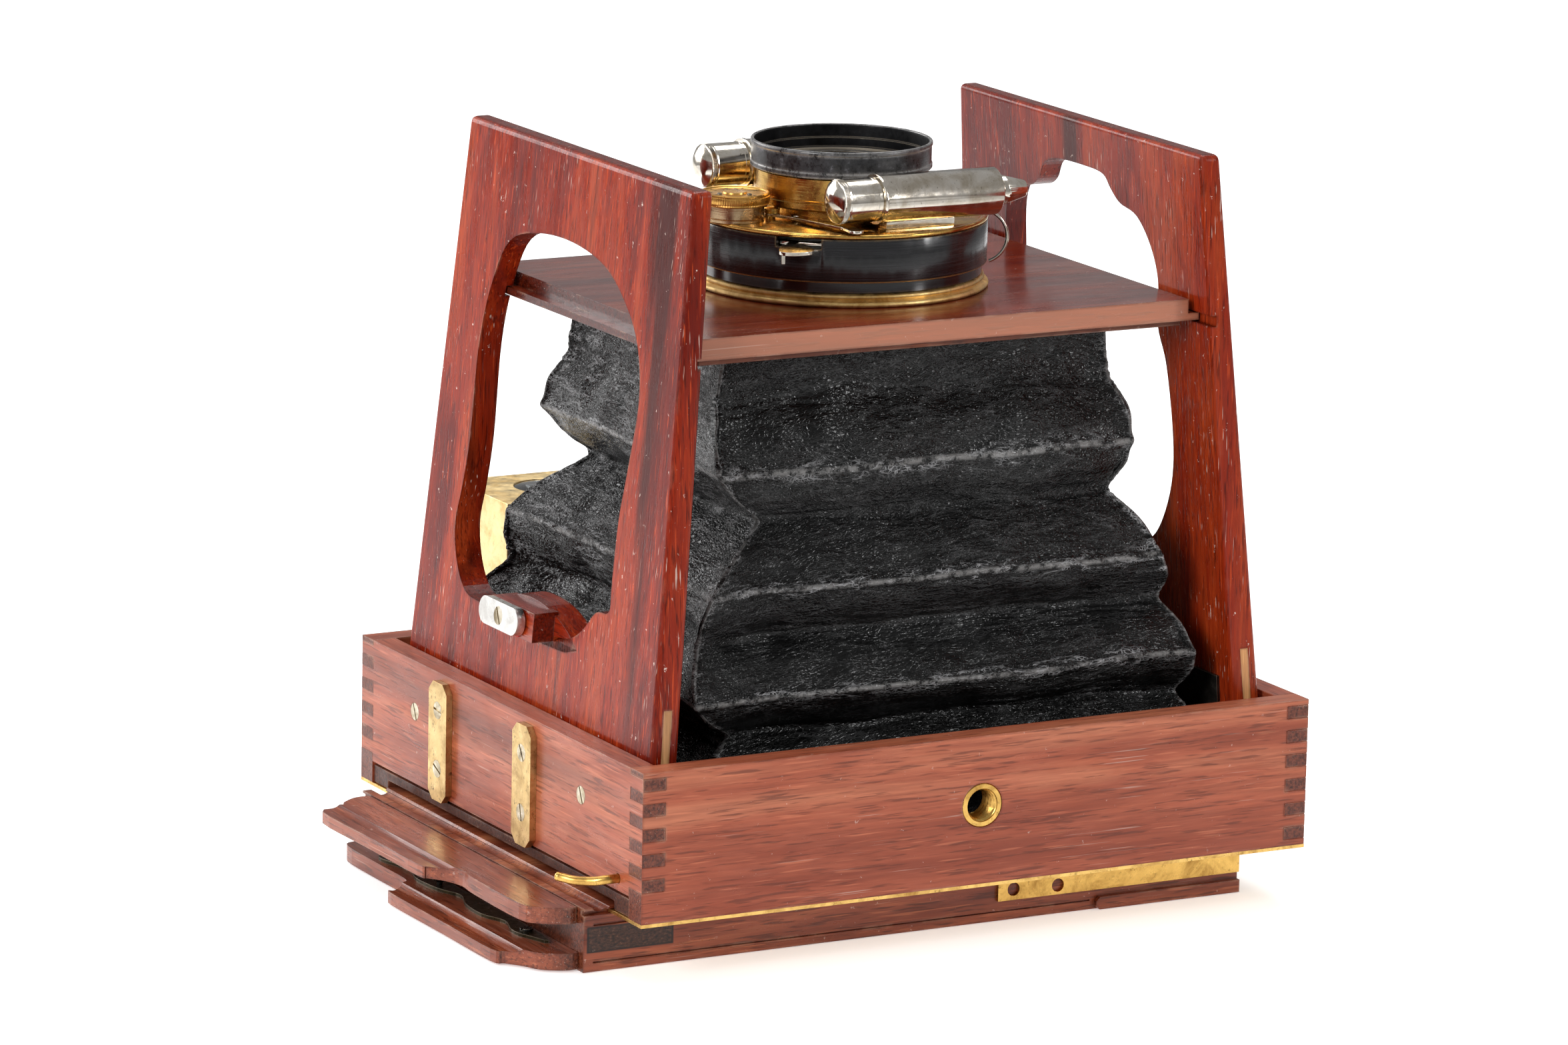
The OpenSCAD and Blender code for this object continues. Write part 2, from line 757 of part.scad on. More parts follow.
module cylinder_bracket() {
  color("silver") for (i = [0, 1]) {
    s = i == 0 ? -1 : 1;
    difference() {
      translate([air_shift[i], s * air_y, 0]) block([-4, -2.4, top_face], [17.6, 2.4, air_z[i] - air_r + 1]);
      in_air_frame(i) translate([0, 0, -60]) cylinder(r = air_r, h = 120);
    }
  }
}

module dial_base() {
  color("tan") translate([dial_at[0], dial_at[1], top_face]) {
    cylinder(r = dial_base_r, h = dial_base_h);
    cylinder(r = dial_pin_r, h = dial_base_h + 2.4);
  }
}

module speed_dial() {
  color("gold") translate([dial_at[0], dial_at[1], top_face + dial_base_h + 0.1]) difference() {
    cylinder(r = dial_r, h = dial_h);
    translate([0, 0, -1]) cylinder(r = dial_pin_r + 0.05, h = 3.5);
  }
}

// Spring wire from the cover down to the neck, bowed outwards
module wire_clip() {
  span = top_face - drum_z + 0.6;
  bow = 5;
  arc_r = (span * span / 4 + bow * bow) / (2 * bow);
  half = asin(span / 2 / arc_r);
  color("silver") rotate(wire_a) translate([drum_r + 0.6 + bow - arc_r, 0, drum_z + span / 2 - 0.6])
    rotate([90, 0, 0]) rotate(-half) rotate_extrude(angle = 2 * half) translate([arc_r, 0]) circle(r = wire_r);
}

module trigger() {
  color("silver") translate([0, 0, trigger_z]) {
    difference() {
      cylinder(r = trigger_ring[1], h = trigger_t);
      translate([0, 0, -1]) cylinder(r = trigger_ring[0], h = trigger_t + 2);
    }
    difference() {
      sector(43, slot_a - 4.5, slot_a - 0.5, trigger_t);
      translate([0, 0, -1]) cylinder(r = trigger_ring[1] - 1, h = trigger_t + 2);
    }
    difference() {
      linear_extrude(trigger_t) polygon(closed_curve(thumb_plate, 4));
      translate([0, 0, -1]) cylinder(r = drum_r + 0.4, h = trigger_t + 2);
    }
    translate([0, 0, -2.6]) bar([-37, -34.6], [-38.7, -38.4], 1, 3);
  }
}

module bar(p, q, w, h) {
  d = q - p;
  translate([p[0], p[1], 0]) rotate(atan2(d[1], d[0])) translate([0, -w / 2, 0]) cube([norm(d), w, h]);
}

module link_lever() {
  color("silver") translate([0, 0, link_z]) difference() {
    union() {
      for (i = [0:len(link_path) - 2]) bar(link_path[i], link_path[i + 1], link_w, link_t);
      for (p = link_path) translate([p[0], p[1], 0]) cylinder(r = link_w / 2 + 0.2, h = link_t);
    }
    translate([link_pivot[0], link_pivot[1], -1]) cylinder(r = 1.06, h = 4);
    translate([link_path[1][0], link_path[1][1], -1]) cylinder(r = 0.8, h = 4);
  }
}

// Half-disc blade on the shutter's pivot; the other blade is its mirror image one level up
module blade() {
  difference() {
    union() {
      intersection() {
        cylinder(r = 17.5, h = blade_t);
        translate([-20, -20, -1]) cube([40, 22, 3]);
      }
      translate([8, -6, 0]) cube([24, 7, blade_t]);
      translate([blade_pivot[0], 0, 0]) cylinder(r = 3.2, h = blade_t);
    }
    translate([blade_pivot[0], blade_pivot[1], -1]) cylinder(r = blade_pin_r + 0.06, h = 3);
  }
}

module left_blade() {
  color("black") translate([0, 0, blade_z]) blade();
}

module right_blade() {
  color("black") translate([0, 0, blade_z + blade_t + 0.4]) mirror([0, 1, 0]) blade();
}

module release_piston() {
  color("gold") in_air_frame(0) translate([0, 0, air_x[0] + 3]) cylinder(r = piston_r, h = piston_l);
}

module delay_piston() {
  color("gold") in_air_frame(1) translate([0, 0, air_x[0] + 3]) cylinder(r = piston_r, h = piston_l);
}

module holder_frame() {
  rail_proud = 1.5;
  color("peru") difference() {
    union() {
      block([holder_x0, -holder_y, 0], [holder_x1, holder_y, holder_h]);
      front_shape(-holder_y - rail_proud, -holder_y + 1) translate([0, 0]) polygon([
        [47.4, 1.2], [48.6, 0], [holder_x1, 0], [holder_x1, 3.7], [48.6, 3.7], [47.4, 2.5]]);
    }
    // Runner grooves
    for (s = [-1, 1]) block([-big, s > 0 ? runner_y - 0.3 : -100, case_z - plate_t - 0.15],
      [big, s > 0 ? 100 : -runner_y + 0.3, case_z + 0.15]);
    // Windows, plate well and the slots for both sheets
    block([-window_x, -window_y, -1], [window_x, window_y, holder_h + 1]);
    block([-plate_l / 2, -plate_w / 2, well_z[0]], [plate_l / 2, plate_w / 2, well_z[1]]);
    for (z = [upper_sheet_z, lower_sheet_z])
      block([-big, -sheet_hy - slot_gap, z - slot_gap],
        [sheet_x1 + 0.5, sheet_hy + slot_gap, z + sheet_t + slot_gap]);
    // Saw lines on the near face
    for (g = [[12.9, 0.6], [2.5, 0.35]])
      block([-110, -holder_y - 1, g[0]], [46, -holder_y + groove_cut, g[0] + g[1]]);
    // Cove under the left shoulder's nose
    translate([holder_x0 + 5.2, 0, holder_h + 1.6]) rotate([90, 0, 0])
      cylinder(r = 3, h = 2 * holder_y + 2, center = true);
  }
}

module septum() {
  color("dimgray") block([-plate_l / 2, -plate_w / 2, well_z[0] + glass_t],
    [plate_l / 2, plate_w / 2, well_z[1] - glass_t]);
}

module glass_plates() {
  color("lightblue") for (z = [well_z[0], well_z[1] - glass_t])
    block([-plate_l / 2, -plate_w / 2, z], [plate_l / 2, plate_w / 2, z + glass_t]);
}

module edge_strip() {
  color("gold") difference() {
    block([15.8, -holder_y - 1, 5.8], [holder_x1, -holder_y, 15.7]);
    for (p = [[20.7, 8.9], [35, 8.5]])
      translate([p[0], -holder_y - 2, p[1]]) rotate([-90, 0, 0]) cylinder(r = 1.9, h = 4);
  }
}

// Sheet and pull of a draw slide; the pull's nose has a finger cove on its upper face
module draw_slide(sheet_z, tab_z, outline, nose_y) {
  block([holder_x0 - 3, -sheet_hy, sheet_z], [sheet_x1, sheet_hy, sheet_z + sheet_t]);
  difference() {
    translate([-0.2, 0, tab_z[0]]) linear_extrude(tab_z[1] - tab_z[0]) polygon(open_curve(outline, 4));
    translate([-128, 0, tab_z[1] + 2.2]) rotate([90, 0, 0]) translate([0, 0, -nose_y[1]])
      cylinder(r = 3.4, h = nose_y[1] - nose_y[0]);
    block([-big, nose_y[0], tab_z[1] - 1.2], [-128, nose_y[1], tab_z[1] + 1]);
  }
}

module upper_slide() {
  color("chocolate") draw_slide(upper_sheet_z, upper_tab_z, upper_tab, [-20, 90]);
}

module lower_slide() {
  color("chocolate") difference() {
    draw_slide(lower_sheet_z, lower_tab_z, lower_tab, [-70, 30]);
    for (p = lock_screws_at) translate([p[0], p[1], lock_z - 3.2]) cylinder(r = 0.9, h = 6);
    translate([ball_at[0], ball_at[1], lock_z - 2]) cylinder(r = 0.8, h = 6);
  }
}

module lock_plate() {
  color("dimgray") difference() {
    translate([0, 0, lock_z]) linear_extrude(lock_t) polygon(closed_curve(lock_outline, 4));
    for (p = lock_screws_at) translate([p[0], p[1], lock_z - 1]) cylinder(r = 0.9, h = 4);
    translate([ball_at[0], ball_at[1], lock_z - 1]) cylinder(r = 0.8, h = 4);
  }
}

module lock_screws() {
  color("black") {
    for (p = lock_screws_at) translate([p[0], p[1], lock_z + lock_t + 0.8]) rotate(20)
      screw(hr = 1.9, hh = 0.8, sr = 0.9, sl = 5);
    translate([ball_at[0], ball_at[1], lock_z - 2]) cylinder(r = 0.8, h = 5);
    translate([ball_at[0], ball_at[1], lock_z + lock_t + 1.7]) sphere(r = 1.3);
  }
}

// A round wire along a path, as a closed mesh of rings
module wire(path, r) {
  n = len(path);
  sides = 12;
  function along(i) = let (d = path[min(i + 1, n - 1)] - path[max(i - 1, 0)]) d / norm(d);
  function ring(i) = let (t = along(i), u = cross(t, [0, 0, 1]) / norm(cross(t, [0, 0, 1])),
    v = cross(t, u))
    [for (k = [0:sides - 1]) path[i] + r * (cos(k * 360 / sides) * u + sin(k * 360 / sides) * v)];
  skin = [for (i = [0:n - 2], k = [0:sides - 1])
    let (a = i * sides + k, b = i * sides + (k + 1) % sides)
      each [[a, b + sides, b], [a, a + sides, b + sides]]];
  caps = [[for (k = [0:sides - 1]) k], [for (k = [sides - 1:-1:0]) (n - 1) * sides + k]];
  polyhedron([for (i = [0:n - 1]) each ring(i)], concat(skin, caps));
}

// Bent wire hook that turns in the left wall
module slide_hook() {
  path = open_curve([[-2, 0, 0], [-3.5, 0, 0], [-6.5, 2.4, -0.8], [-9.5, 6.6, -1.2],
    [-13.6, 10.8, -0.4]], 3);
  color("goldenrod") translate(hook_at) {
    translate([-3, 0, 0]) rotate([0, 90, 0]) cylinder(r = hook_r, h = 8);
    wire(path, hook_r - 0.04);
  }
}

module finder_cavity() {
  block([finder_x + finder_t, finder_y[0] + finder_t, finder_z[0] + finder_t],
    [finder_x + finder_w - finder_t, finder_y[1] - finder_t, finder_z[1] - finder_t]);
}

module finder_body() {
  color("khaki") difference() {
    block([finder_x, finder_y[0], finder_z[0]], [finder_x + finder_w, finder_y[1], finder_z[1]]);
    finder_cavity();
    translate([finder_mid[0], finder_mid[1], finder_z[1] - 3]) cylinder(r = finder_lens_r, h = 6);
    block([finder_mid[0] - screen_w / 2, finder_y[1] - 3, screen_z - screen_h / 2],
      [finder_mid[0] + screen_w / 2, finder_y[1] + 1, screen_z + screen_h / 2]);
  }
}

module finder_lens() {
  color("lightblue") translate([finder_mid[0], finder_mid[1], finder_z[1] - 1.4]) lens(finder_lens_r, 1, 1.2);
}

module finder_mirror() {
  l = 30;
  color("silver") translate([finder_mid[0], finder_mid[1] + 1, screen_z]) rotate([45, 0, 0])
    translate([-finder_w / 2 + finder_t, -l / 2, -1]) cube([finder_w - 2 * finder_t, l, 1]);
}

module finder_screen() {
  color("white") block([finder_mid[0] - screen_w / 2, finder_y[1] - finder_t, screen_z - screen_h / 2],
    [finder_mid[0] + screen_w / 2, finder_y[1] - 0.2, screen_z + screen_h / 2]);
}

module finder_foot() {
  color("goldenrod") difference() {
    block([finder_x + 6, hy, 31], [finder_x + finder_w - 6, finder_y[0], 57.6]);
    at_foot_screws() screw_hole(hr = 2, sr = 1);
  }
}

// Pleated leather tube: rings of four corners, outer skin down, inner skin back up
module bellows() {
  n = len(folds);
  corners = [[-1, -1], [1, -1], [1, 1], [-1, 1]];
  function ring(f, t) = [for (c = corners) [c[0] * (f[0] - t), c[1] * (f[1] - t), f[2]]];
  points = concat([for (f = folds) each ring(f, 0)], [for (i = [n - 1:-1:0]) each ring(folds[i], leather_t)]);
  rings = 2 * n;
  sides = [for (i = [0:rings - 1], j = [0:3])
    let (a = i * 4, b = ((i + 1) % rings) * 4, k = (j + 1) % 4)
    each [[a + j, a + k, b + k], [a + j, b + k, b + j]]];
  color("black") polyhedron(points, sides);
}

front_wall();
rear_wall();
left_wall();
right_wall();
tripod_bush();
runner_plate();
strap_plates();
case_screws();
back_frame();
hinge_rails();
fixed_leaves();
hinge_pins();
finder_body();
finder_lens();
finder_mirror();
finder_screen();
finder_foot();
bellows();
left_wing();
left_splines();
latch_block();
left_leaves();
turn_button();
button_screw();
right_wing();
right_splines();
right_leaves();
lens_board();
board_cleat();
lens_flange();
lens_screws();
neck_ring();
shutter_drum();
drum_cover();
lens_barrel();
lens_hood();
front_lens();
rear_lens();
air_cylinders();
cylinder_caps();
cylinder_nozzle();
cylinder_bracket();
dial_base();
wire_clip();
speed_dial();
trigger();
link_lever();
left_blade();
right_blade();
release_piston();
delay_piston();
holder_frame();
septum();
glass_plates();
edge_strip();
upper_slide();
lower_slide();
lock_plate();
lock_screws();
slide_hook();
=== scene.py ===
import math

import bmesh
import bpy
import numpy as np
from mathutils import Matrix, Vector, noise


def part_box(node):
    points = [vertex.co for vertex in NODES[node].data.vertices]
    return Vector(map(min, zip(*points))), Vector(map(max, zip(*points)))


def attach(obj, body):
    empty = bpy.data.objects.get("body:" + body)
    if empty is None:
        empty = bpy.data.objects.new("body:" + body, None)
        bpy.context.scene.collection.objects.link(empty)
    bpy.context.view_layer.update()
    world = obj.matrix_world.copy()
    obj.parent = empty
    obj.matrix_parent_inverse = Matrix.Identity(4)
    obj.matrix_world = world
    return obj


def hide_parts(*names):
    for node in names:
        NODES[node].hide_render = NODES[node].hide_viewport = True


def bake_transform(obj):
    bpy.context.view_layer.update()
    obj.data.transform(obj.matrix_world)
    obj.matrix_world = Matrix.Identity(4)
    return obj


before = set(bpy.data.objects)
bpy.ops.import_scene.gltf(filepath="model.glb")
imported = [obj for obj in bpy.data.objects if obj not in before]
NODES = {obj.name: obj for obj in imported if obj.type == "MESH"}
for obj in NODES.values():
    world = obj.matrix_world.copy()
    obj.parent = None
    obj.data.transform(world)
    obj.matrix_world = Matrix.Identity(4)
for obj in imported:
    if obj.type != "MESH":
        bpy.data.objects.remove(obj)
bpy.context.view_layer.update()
MM = 0.001


# ---------------------------------------------------------------- view and light

CAMERA_AZIMUTH = -28.62
CAMERA_ELEVATION = 12.44
CAMERA_ROLL = 1.206
CAMERA_LENS = 172.8
CAMERA_TARGET = Vector((0, 0, 97)) * MM
# How the target lies in the camera: to the right of, below and in front of it
CAMERA_OFFSET = Vector((13.825, 3.736, 2127.678)) * MM


def make_camera():
    a, e, r = (math.radians(x) for x in (CAMERA_AZIMUTH, CAMERA_ELEVATION, CAMERA_ROLL))
    back = Vector((math.sin(a) * math.cos(e), -math.cos(a) * math.cos(e), math.sin(e)))
    level_right = (-back).cross(Vector((0, 0, 1))).normalized()
    level_up = level_right.cross(-back)
    right = math.cos(r) * level_right + math.sin(r) * level_up
    up = -math.sin(r) * level_right + math.cos(r) * level_up
    x, y, z = CAMERA_OFFSET
    place = CAMERA_TARGET - x * right + y * up + z * back
    data = bpy.data.cameras.new("camera")
    data.lens = CAMERA_LENS
    data.sensor_width = 36
    data.clip_end = 50
    camera = bpy.data.objects.new("camera", data)
    turn = Matrix((right, up, back)).transposed()
    camera.matrix_world = Matrix.Translation(place) @ turn.to_4x4()
    bpy.context.scene.collection.objects.link(camera)
    bpy.context.scene.camera = camera


def make_light(name, place, aim, size, power):
    data = bpy.data.lights.new(name, "AREA")
    data.shape = "RECTANGLE"
    data.size, data.size_y = size
    data.energy = power
    lamp = bpy.data.objects.new(name, data)
    lamp.location = place
    lamp.rotation_euler = (Vector(aim) - Vector(place)).to_track_quat("-Z", "Y").to_euler()
    bpy.context.scene.collection.objects.link(lamp)


def make_studio():
    scene = bpy.context.scene
    scene.view_settings.view_transform = "Standard"
    world = bpy.data.worlds.new("studio")
    world.use_nodes = True
    sky = world.node_tree.nodes["Background"]
    sky.inputs["Color"].default_value = (1, 1, 1, 1)
    sky.inputs["Strength"].default_value = 0.33
    scene.world = world
    make_light("left_softbox", (-1.35, -0.55, 0.75), (0, 0, 0.1), (0.5, 0.8), 14)
    make_light("right_softbox", (1.0, -1.25, 0.75), (0, 0, 0.1), (0.2, 0.7), 7)
    make_light("top_softbox", (0.2, 0.5, 1.7), (0, 0, 0), (1.3, 1.3), 20)
    make_light("back_softbox", (-0.85, 1.35, 0.62), (0, 0, 0.1), (1.2, 0.8), 15)
    bpy.ops.mesh.primitive_plane_add(size=12, location=(0, 0, -0.0002))
    floor = bpy.context.object
    floor.name = "floor"
    floor.data.materials.append(paper_on_table())


def paper_on_table():
    """A strip of white paper runs away under the camera's view, on a pale grey table."""
    a = math.radians(CAMERA_AZIMUTH)
    m = Shader("paper")
    x, y = m.axes()[0], m.axes()[1]
    away = m.math("ADD", m.times(x, -math.sin(a)), m.times(y, math.cos(a)))
    aside = m.math("ADD", m.times(x, math.cos(a)), m.times(y, math.sin(a)))
    aside = m.math("SUBTRACT", m.math("ABSOLUTE", aside), m.times(away, 0.12))
    paper = m.times(m.range(away, -0.42, -0.22), m.range(aside, 0.75, 0.26))
    fibre = m.noise(900, detail=2)
    grey = m.ramp(fibre, (0.3, (0.54, 0.54, 0.54)), (0.7, (0.56, 0.56, 0.56)))
    white = m.ramp(fibre, (0.3, (0.92, 0.92, 0.92)), (0.7, (0.94, 0.94, 0.94)))
    m.to("Base Color", m.mix(paper, grey, white))
    m.to("Emission Strength", m.range(paper, 0, 1, 0.0, 0.45))
    m.set("Emission Color", (1, 1, 1, 1))
    m.set("Roughness", 0.75)
    return m.material


# ---------------------------------------------------------------- material helpers

class Shader:
    """One Principled material and short ways to add nodes to it. Lengths are in metres of the row frame."""

    def __init__(self, name):
        self.material = bpy.data.materials.new(name)
        self.material.use_nodes = True
        self.tree = self.material.node_tree
        self.shader = self.tree.nodes["Principled BSDF"]
        self.coords = None

    def set(self, socket, value):
        self.shader.inputs[socket].default_value = value

    def to(self, socket, output):
        self.tree.links.new(output, self.shader.inputs[socket])

    def node(self, kind, inputs=None, **options):
        made = self.tree.nodes.new("ShaderNode" + kind)
        for key, value in options.items():
            setattr(made, key, value)
        for key, value in (inputs or {}).items():
            if isinstance(value, bpy.types.NodeSocket):
                self.tree.links.new(value, made.inputs[key])
            else:
                made.inputs[key].default_value = value
        return made

    def place(self):
        if self.coords is None:
            self.coords = self.node("TexCoord")
        return self.coords.outputs["Object"]

    def scaled(self, scale, shift=(0, 0, 0), turn=(0, 0, 0)):
        """Object coordinates times one scale, or a scale per axis."""
        if not isinstance(scale, tuple):
            scale = (scale, scale, scale)
        return self.node("Mapping", {"Vector": self.place(), "Scale": scale, "Location": shift,
                                     "Rotation": turn}).outputs["Vector"]

    def noise(self, vector, shift=(0, 0, 0), detail=3, rough=0.55, twist=0, colour=False):
        """Noise at a vector, or at the object's coordinates times a scale."""
        if not isinstance(vector, bpy.types.NodeSocket):
            vector = self.scaled(vector, shift)
        made = self.node("TexNoise", {"Vector": vector, "Scale": 1, "Detail": detail,
                                      "Roughness": rough, "Distortion": twist})
        return made.outputs["Color" if colour else "Fac"]

    def cells(self, vector, feature, **inputs):
        made = self.node("TexVoronoi", {"Vector": vector, "Scale": 1, **inputs}, feature=feature)
        return made.outputs["Distance"]

    def range(self, value, low, high, to_low=0.0, to_high=1.0):
        return self.node("MapRange", {"Value": value, "From Min": low, "From Max": high,
                                      "To Min": to_low, "To Max": to_high}).outputs["Result"]

    def ramp(self, value, *stops):
        made = self.node("ValToRGB", {"Fac": value})
        ramp = made.color_ramp
        while len(ramp.elements) < len(stops):
            ramp.elements.new(0.5)
        for element, (at, colour) in zip(ramp.elements, stops):
            element.position = at
            element.color = (*colour, 1)
        return made.outputs["Color"]

    def mix(self, factor, first, second):
        """Two colours, each a colour output or red, green and blue."""
        first, second = ((*c, 1) if isinstance(c, tuple) else c for c in (first, second))
        return self.node("Mix", {0: factor, 6: first, 7: second}, data_type="RGBA").outputs[2]

    def math(self, how, first, second=0.0):
        return self.node("Math", {0: first, 1: second}, operation=how).outputs[0]

    def times(self, first, second):
        return self.math("MULTIPLY", first, second)

    def axes(self, vector=None):
        return self.node("SeparateXYZ", {"Vector": vector or self.place()}).outputs

    def bump(self, height, strength, distance, before=None):
        inputs = {"Height": height, "Strength": strength, "Distance": distance}
        if before is not None:
            inputs["Normal"] = before
        return self.node("Bump", inputs).outputs["Normal"]

    def facing(self, axis):
        """0 to 1: how squarely the surface faces along an axis of the row frame."""
        self.place()
        normal = self.node("SeparateXYZ", {"Vector": self.coords.outputs["Normal"]}).outputs
        return self.math("ABSOLUTE", normal[axis])

    def edges(self, radius):
        """0 to 1 near the convex and concave edges of the mesh."""
        rounded = self.node("Bevel", {"Radius": radius}, samples=4).outputs["Normal"]
        true = self.node("NewGeometry").outputs["Normal"]
        dot = self.node("VectorMath", {0: rounded, 1: true}, operation="DOT_PRODUCT").outputs["Value"]
        return self.range(dot, 0.995, 0.85)

    def inside(self, axis, low, high, soft=0.0003):
        """1 where the coordinate lies between two values."""
        value = self.axes()[axis]
        return self.times(self.range(value, low - soft, low + soft),
                          self.range(value, high + soft, high - soft))


def stretch(along, across, lengthwise):
    """A scale that is fine across the grain and long along it."""
    return tuple(lengthwise if i == along else across for i in range(3))


# ---------------------------------------------------------------- materials

def shade(colour, share):
    """A darker or lighter shade of a colour."""
    return tuple(min(1, share * c) for c in colour)


def wood(name, along, dark, middle, light, seed=0, gloss=0.25, coat=0.5, pores=0.6, end=0.45,
         streak=0.5, specks=0.3, wear_and_highlight=0.35, shine=0.35, extra=None):
    """Polished mahogany whose grain runs along one axis: 0 for X, 1 for Y, 2 for Z."""
    m = Shader(name)
    shift = (seed * 0.37, seed * 0.61, seed * 0.23)
    figure = m.noise(stretch(along, 75, 7), shift, detail=5, rough=0.6, twist=0.7)
    bands = m.noise(stretch(along, 28, 2.2), shift, detail=2, twist=0.4)
    fibre = m.noise(stretch(along, 900, 26), shift, detail=4, rough=0.7)
    base = m.ramp(m.math("ADD", m.times(figure, 0.55), m.times(bands, 0.45)),
                  (0.40, dark), (0.5, middle), (0.60, light))
    base = m.mix(m.range(fibre, 0.35, 0.7, 0.0, 0.5), base, shade(dark, 0.55))
    # Open pores: short dark dashes along the grain, and paler flecks between them
    pore = m.noise(stretch(along, 1500, 95), shift, detail=2, rough=0.5)
    pore_mask = m.range(pore, 0.56, 0.66)
    base = m.mix(m.times(pore_mask, pores), base, shade(dark, 0.35))
    fleck = m.range(m.noise(stretch(along, 1250, 60), (seed, 3.1, 1.7), detail=1), 0.62, 0.72)
    base = m.mix(m.times(fleck, streak * 0.5), base, shade(light, 1.5))
    # A few dark mineral streaks
    vein = m.noise(stretch(along, 42, 1.3), (seed * 1.9, 0.4, seed), detail=3, rough=0.5, twist=0.2)
    base = m.mix(m.times(m.range(vein, 0.60, 0.67), streak), base, shade(dark, 0.3))
    # End grain is darker and has no long fibres
    across = m.range(m.facing(along), 0.8, 0.97)
    dots = m.noise(1300, shift, detail=2)
    ends = m.ramp(dots, (0.3, shade(dark, 0.45 * end)), (0.65, shade(middle, 1.2 * end)))
    base = m.mix(across, base, ends)
    if extra is not None:
        base = extra(m, base)
    # Chipped polish: pale specks, and scratches in patches
    chip = m.noise(420, (seed, seed, 5), detail=4, rough=0.75)
    base = m.mix(m.times(m.range(chip, 0.665, 0.70), specks), base, (0.80, 0.64, 0.56))
    scratch = m.noise(stretch(along, 2100, 33), (seed, 8, 4), detail=1)
    patches = m.range(m.noise(38, (5, seed, 2)), 0.5, 0.62)
    scratch = m.times(m.range(scratch, 0.68, 0.73), patches)
    base = m.mix(m.times(scratch, specks), base, (0.70, 0.52, 0.44))
    # Painted shade darkens the arrises and the inner corners; along the arrises the polish is rubbed pale in
    # patches, partly wear and partly painted highlight
    arris = m.edges(0.0011)
    base = m.mix(m.times(arris, 0.65), base, shade(dark, 0.35))
    rub = m.times(arris, m.range(m.noise(95, detail=4), 0.52, 0.62))
    base = m.mix(m.times(rub, wear_and_highlight), base, (0.62, 0.36, 0.24))
    m.to("Base Color", base)
    m.set("Specular IOR Level", shine)
    smear = m.noise(stretch(along, 160, 45), (2, seed, 1), detail=5, rough=0.65)
    m.to("Roughness", m.range(smear, 0.3, 0.75, gloss * 0.7, gloss * 1.7))
    m.set("Coat Weight", coat)
    m.set("Coat Roughness", 0.12)
    grain = m.bump(m.math("SUBTRACT", fibre, m.times(pore_mask, 0.8)), 0.32, 0.00012)
    m.to("Normal", m.bump(m.noise(55, shift, detail=3), 0.12, 0.0006, grain))
    return m.material


def brass(name, bright, dull, rough=0.26, turned=None, tarnish=0.6, scratches=0.5):
    """Old lacquered brass. turned is the centre of its lathe lines in X and Y."""
    m = Shader(name)
    bright, dull = tone(*bright), tone(*dull)
    cloud = m.noise(130, detail=5, rough=0.65, twist=0.5)
    base = m.ramp(cloud, (0.32, dull), (0.55, bright), (0.72, shade(bright, 1.12)))
    stain = m.noise(520, (3, 1, 8), detail=5, rough=0.7)
    base = m.mix(m.times(m.range(stain, 0.58, 0.70), tarnish), base, shade(dull, 0.28))
    m.to("Base Color", base)
    m.set("Metallic", 1.0)
    m.to("Roughness", m.range(m.noise(240, (1, 5, 2), detail=6, rough=0.7),
                              0.3, 0.7, rough * 0.65, rough * 1.7))
    if turned is None:
        lines = m.noise(m.scaled((2600, 190, 190), turn=(0.2, 0.3, 0.4)), detail=3)
    else:
        lines = m.noise(lathe_lines(m, turned), detail=2, rough=0.7)
    fine = m.bump(lines, scratches, 0.00004)
    m.to("Normal", m.bump(m.noise(90, detail=3), 0.12, 0.0002, fine))
    return m.material


def lathe_lines(m, centre, fine=2600):
    """Coordinates that are constant round a vertical axis, for turned metal."""
    axis = m.axes(m.scaled(1, (-centre[0], -centre[1], 0)))
    radius = m.math("SQRT", m.math("ADD", m.times(axis[0], axis[0]), m.times(axis[1], axis[1])))
    flat = m.node("CombineXYZ", {"X": radius, "Y": axis[2], "Z": 0.0}).outputs["Vector"]
    return m.node("VectorMath", {0: flat, 1: (fine, fine, 1)}, operation="MULTIPLY").outputs["Vector"]


def nickel(name, bright=(0.80, 0.74, 0.65), dull=(0.56, 0.49, 0.39), rough=0.11, spots=0.75):
    m = Shader(name)
    cloud = m.noise(150, (4, 4, 4), detail=5, rough=0.65, twist=0.6)
    base = m.ramp(cloud, (0.34, dull), (0.55, bright), (0.75, (0.86, 0.83, 0.78)))
    pit = m.noise(1500, detail=3, rough=0.6)
    base = m.mix(m.times(m.range(pit, 0.64, 0.72), spots), base, (0.09, 0.07, 0.05))
    m.to("Base Color", base)
    m.set("Metallic", 1.0)
    m.to("Roughness", m.range(m.noise(300, (2, 2, 7), detail=6, rough=0.7),
                              0.3, 0.72, rough * 0.5, rough * 2.2))
    m.to("Normal", m.bump(m.noise(400, detail=4), 0.05, 0.00005))
    return m.material


def dark_steel(name, tone=(0.06, 0.052, 0.045), shine=0.38):
    m = Shader(name)
    cloud = m.noise(260, detail=5, rough=0.7)
    base = m.ramp(cloud, (0.35, shade(tone, 0.5)), (0.6, tone), (0.78, shade(tone, 2.4)))
    # Painted highlight: pale along every edge of the mesh
    base = m.mix(m.times(m.edges(0.0004), 0.7), base, (0.42, 0.36, 0.28))
    m.to("Base Color", base)
    m.set("Metallic", 0.85)
    m.to("Roughness", m.range(m.noise(500, detail=5), 0.3, 0.7, shine * 0.7, shine * 1.4))
    m.to("Normal", m.bump(cloud, 0.3, 0.0001))
    return m.material


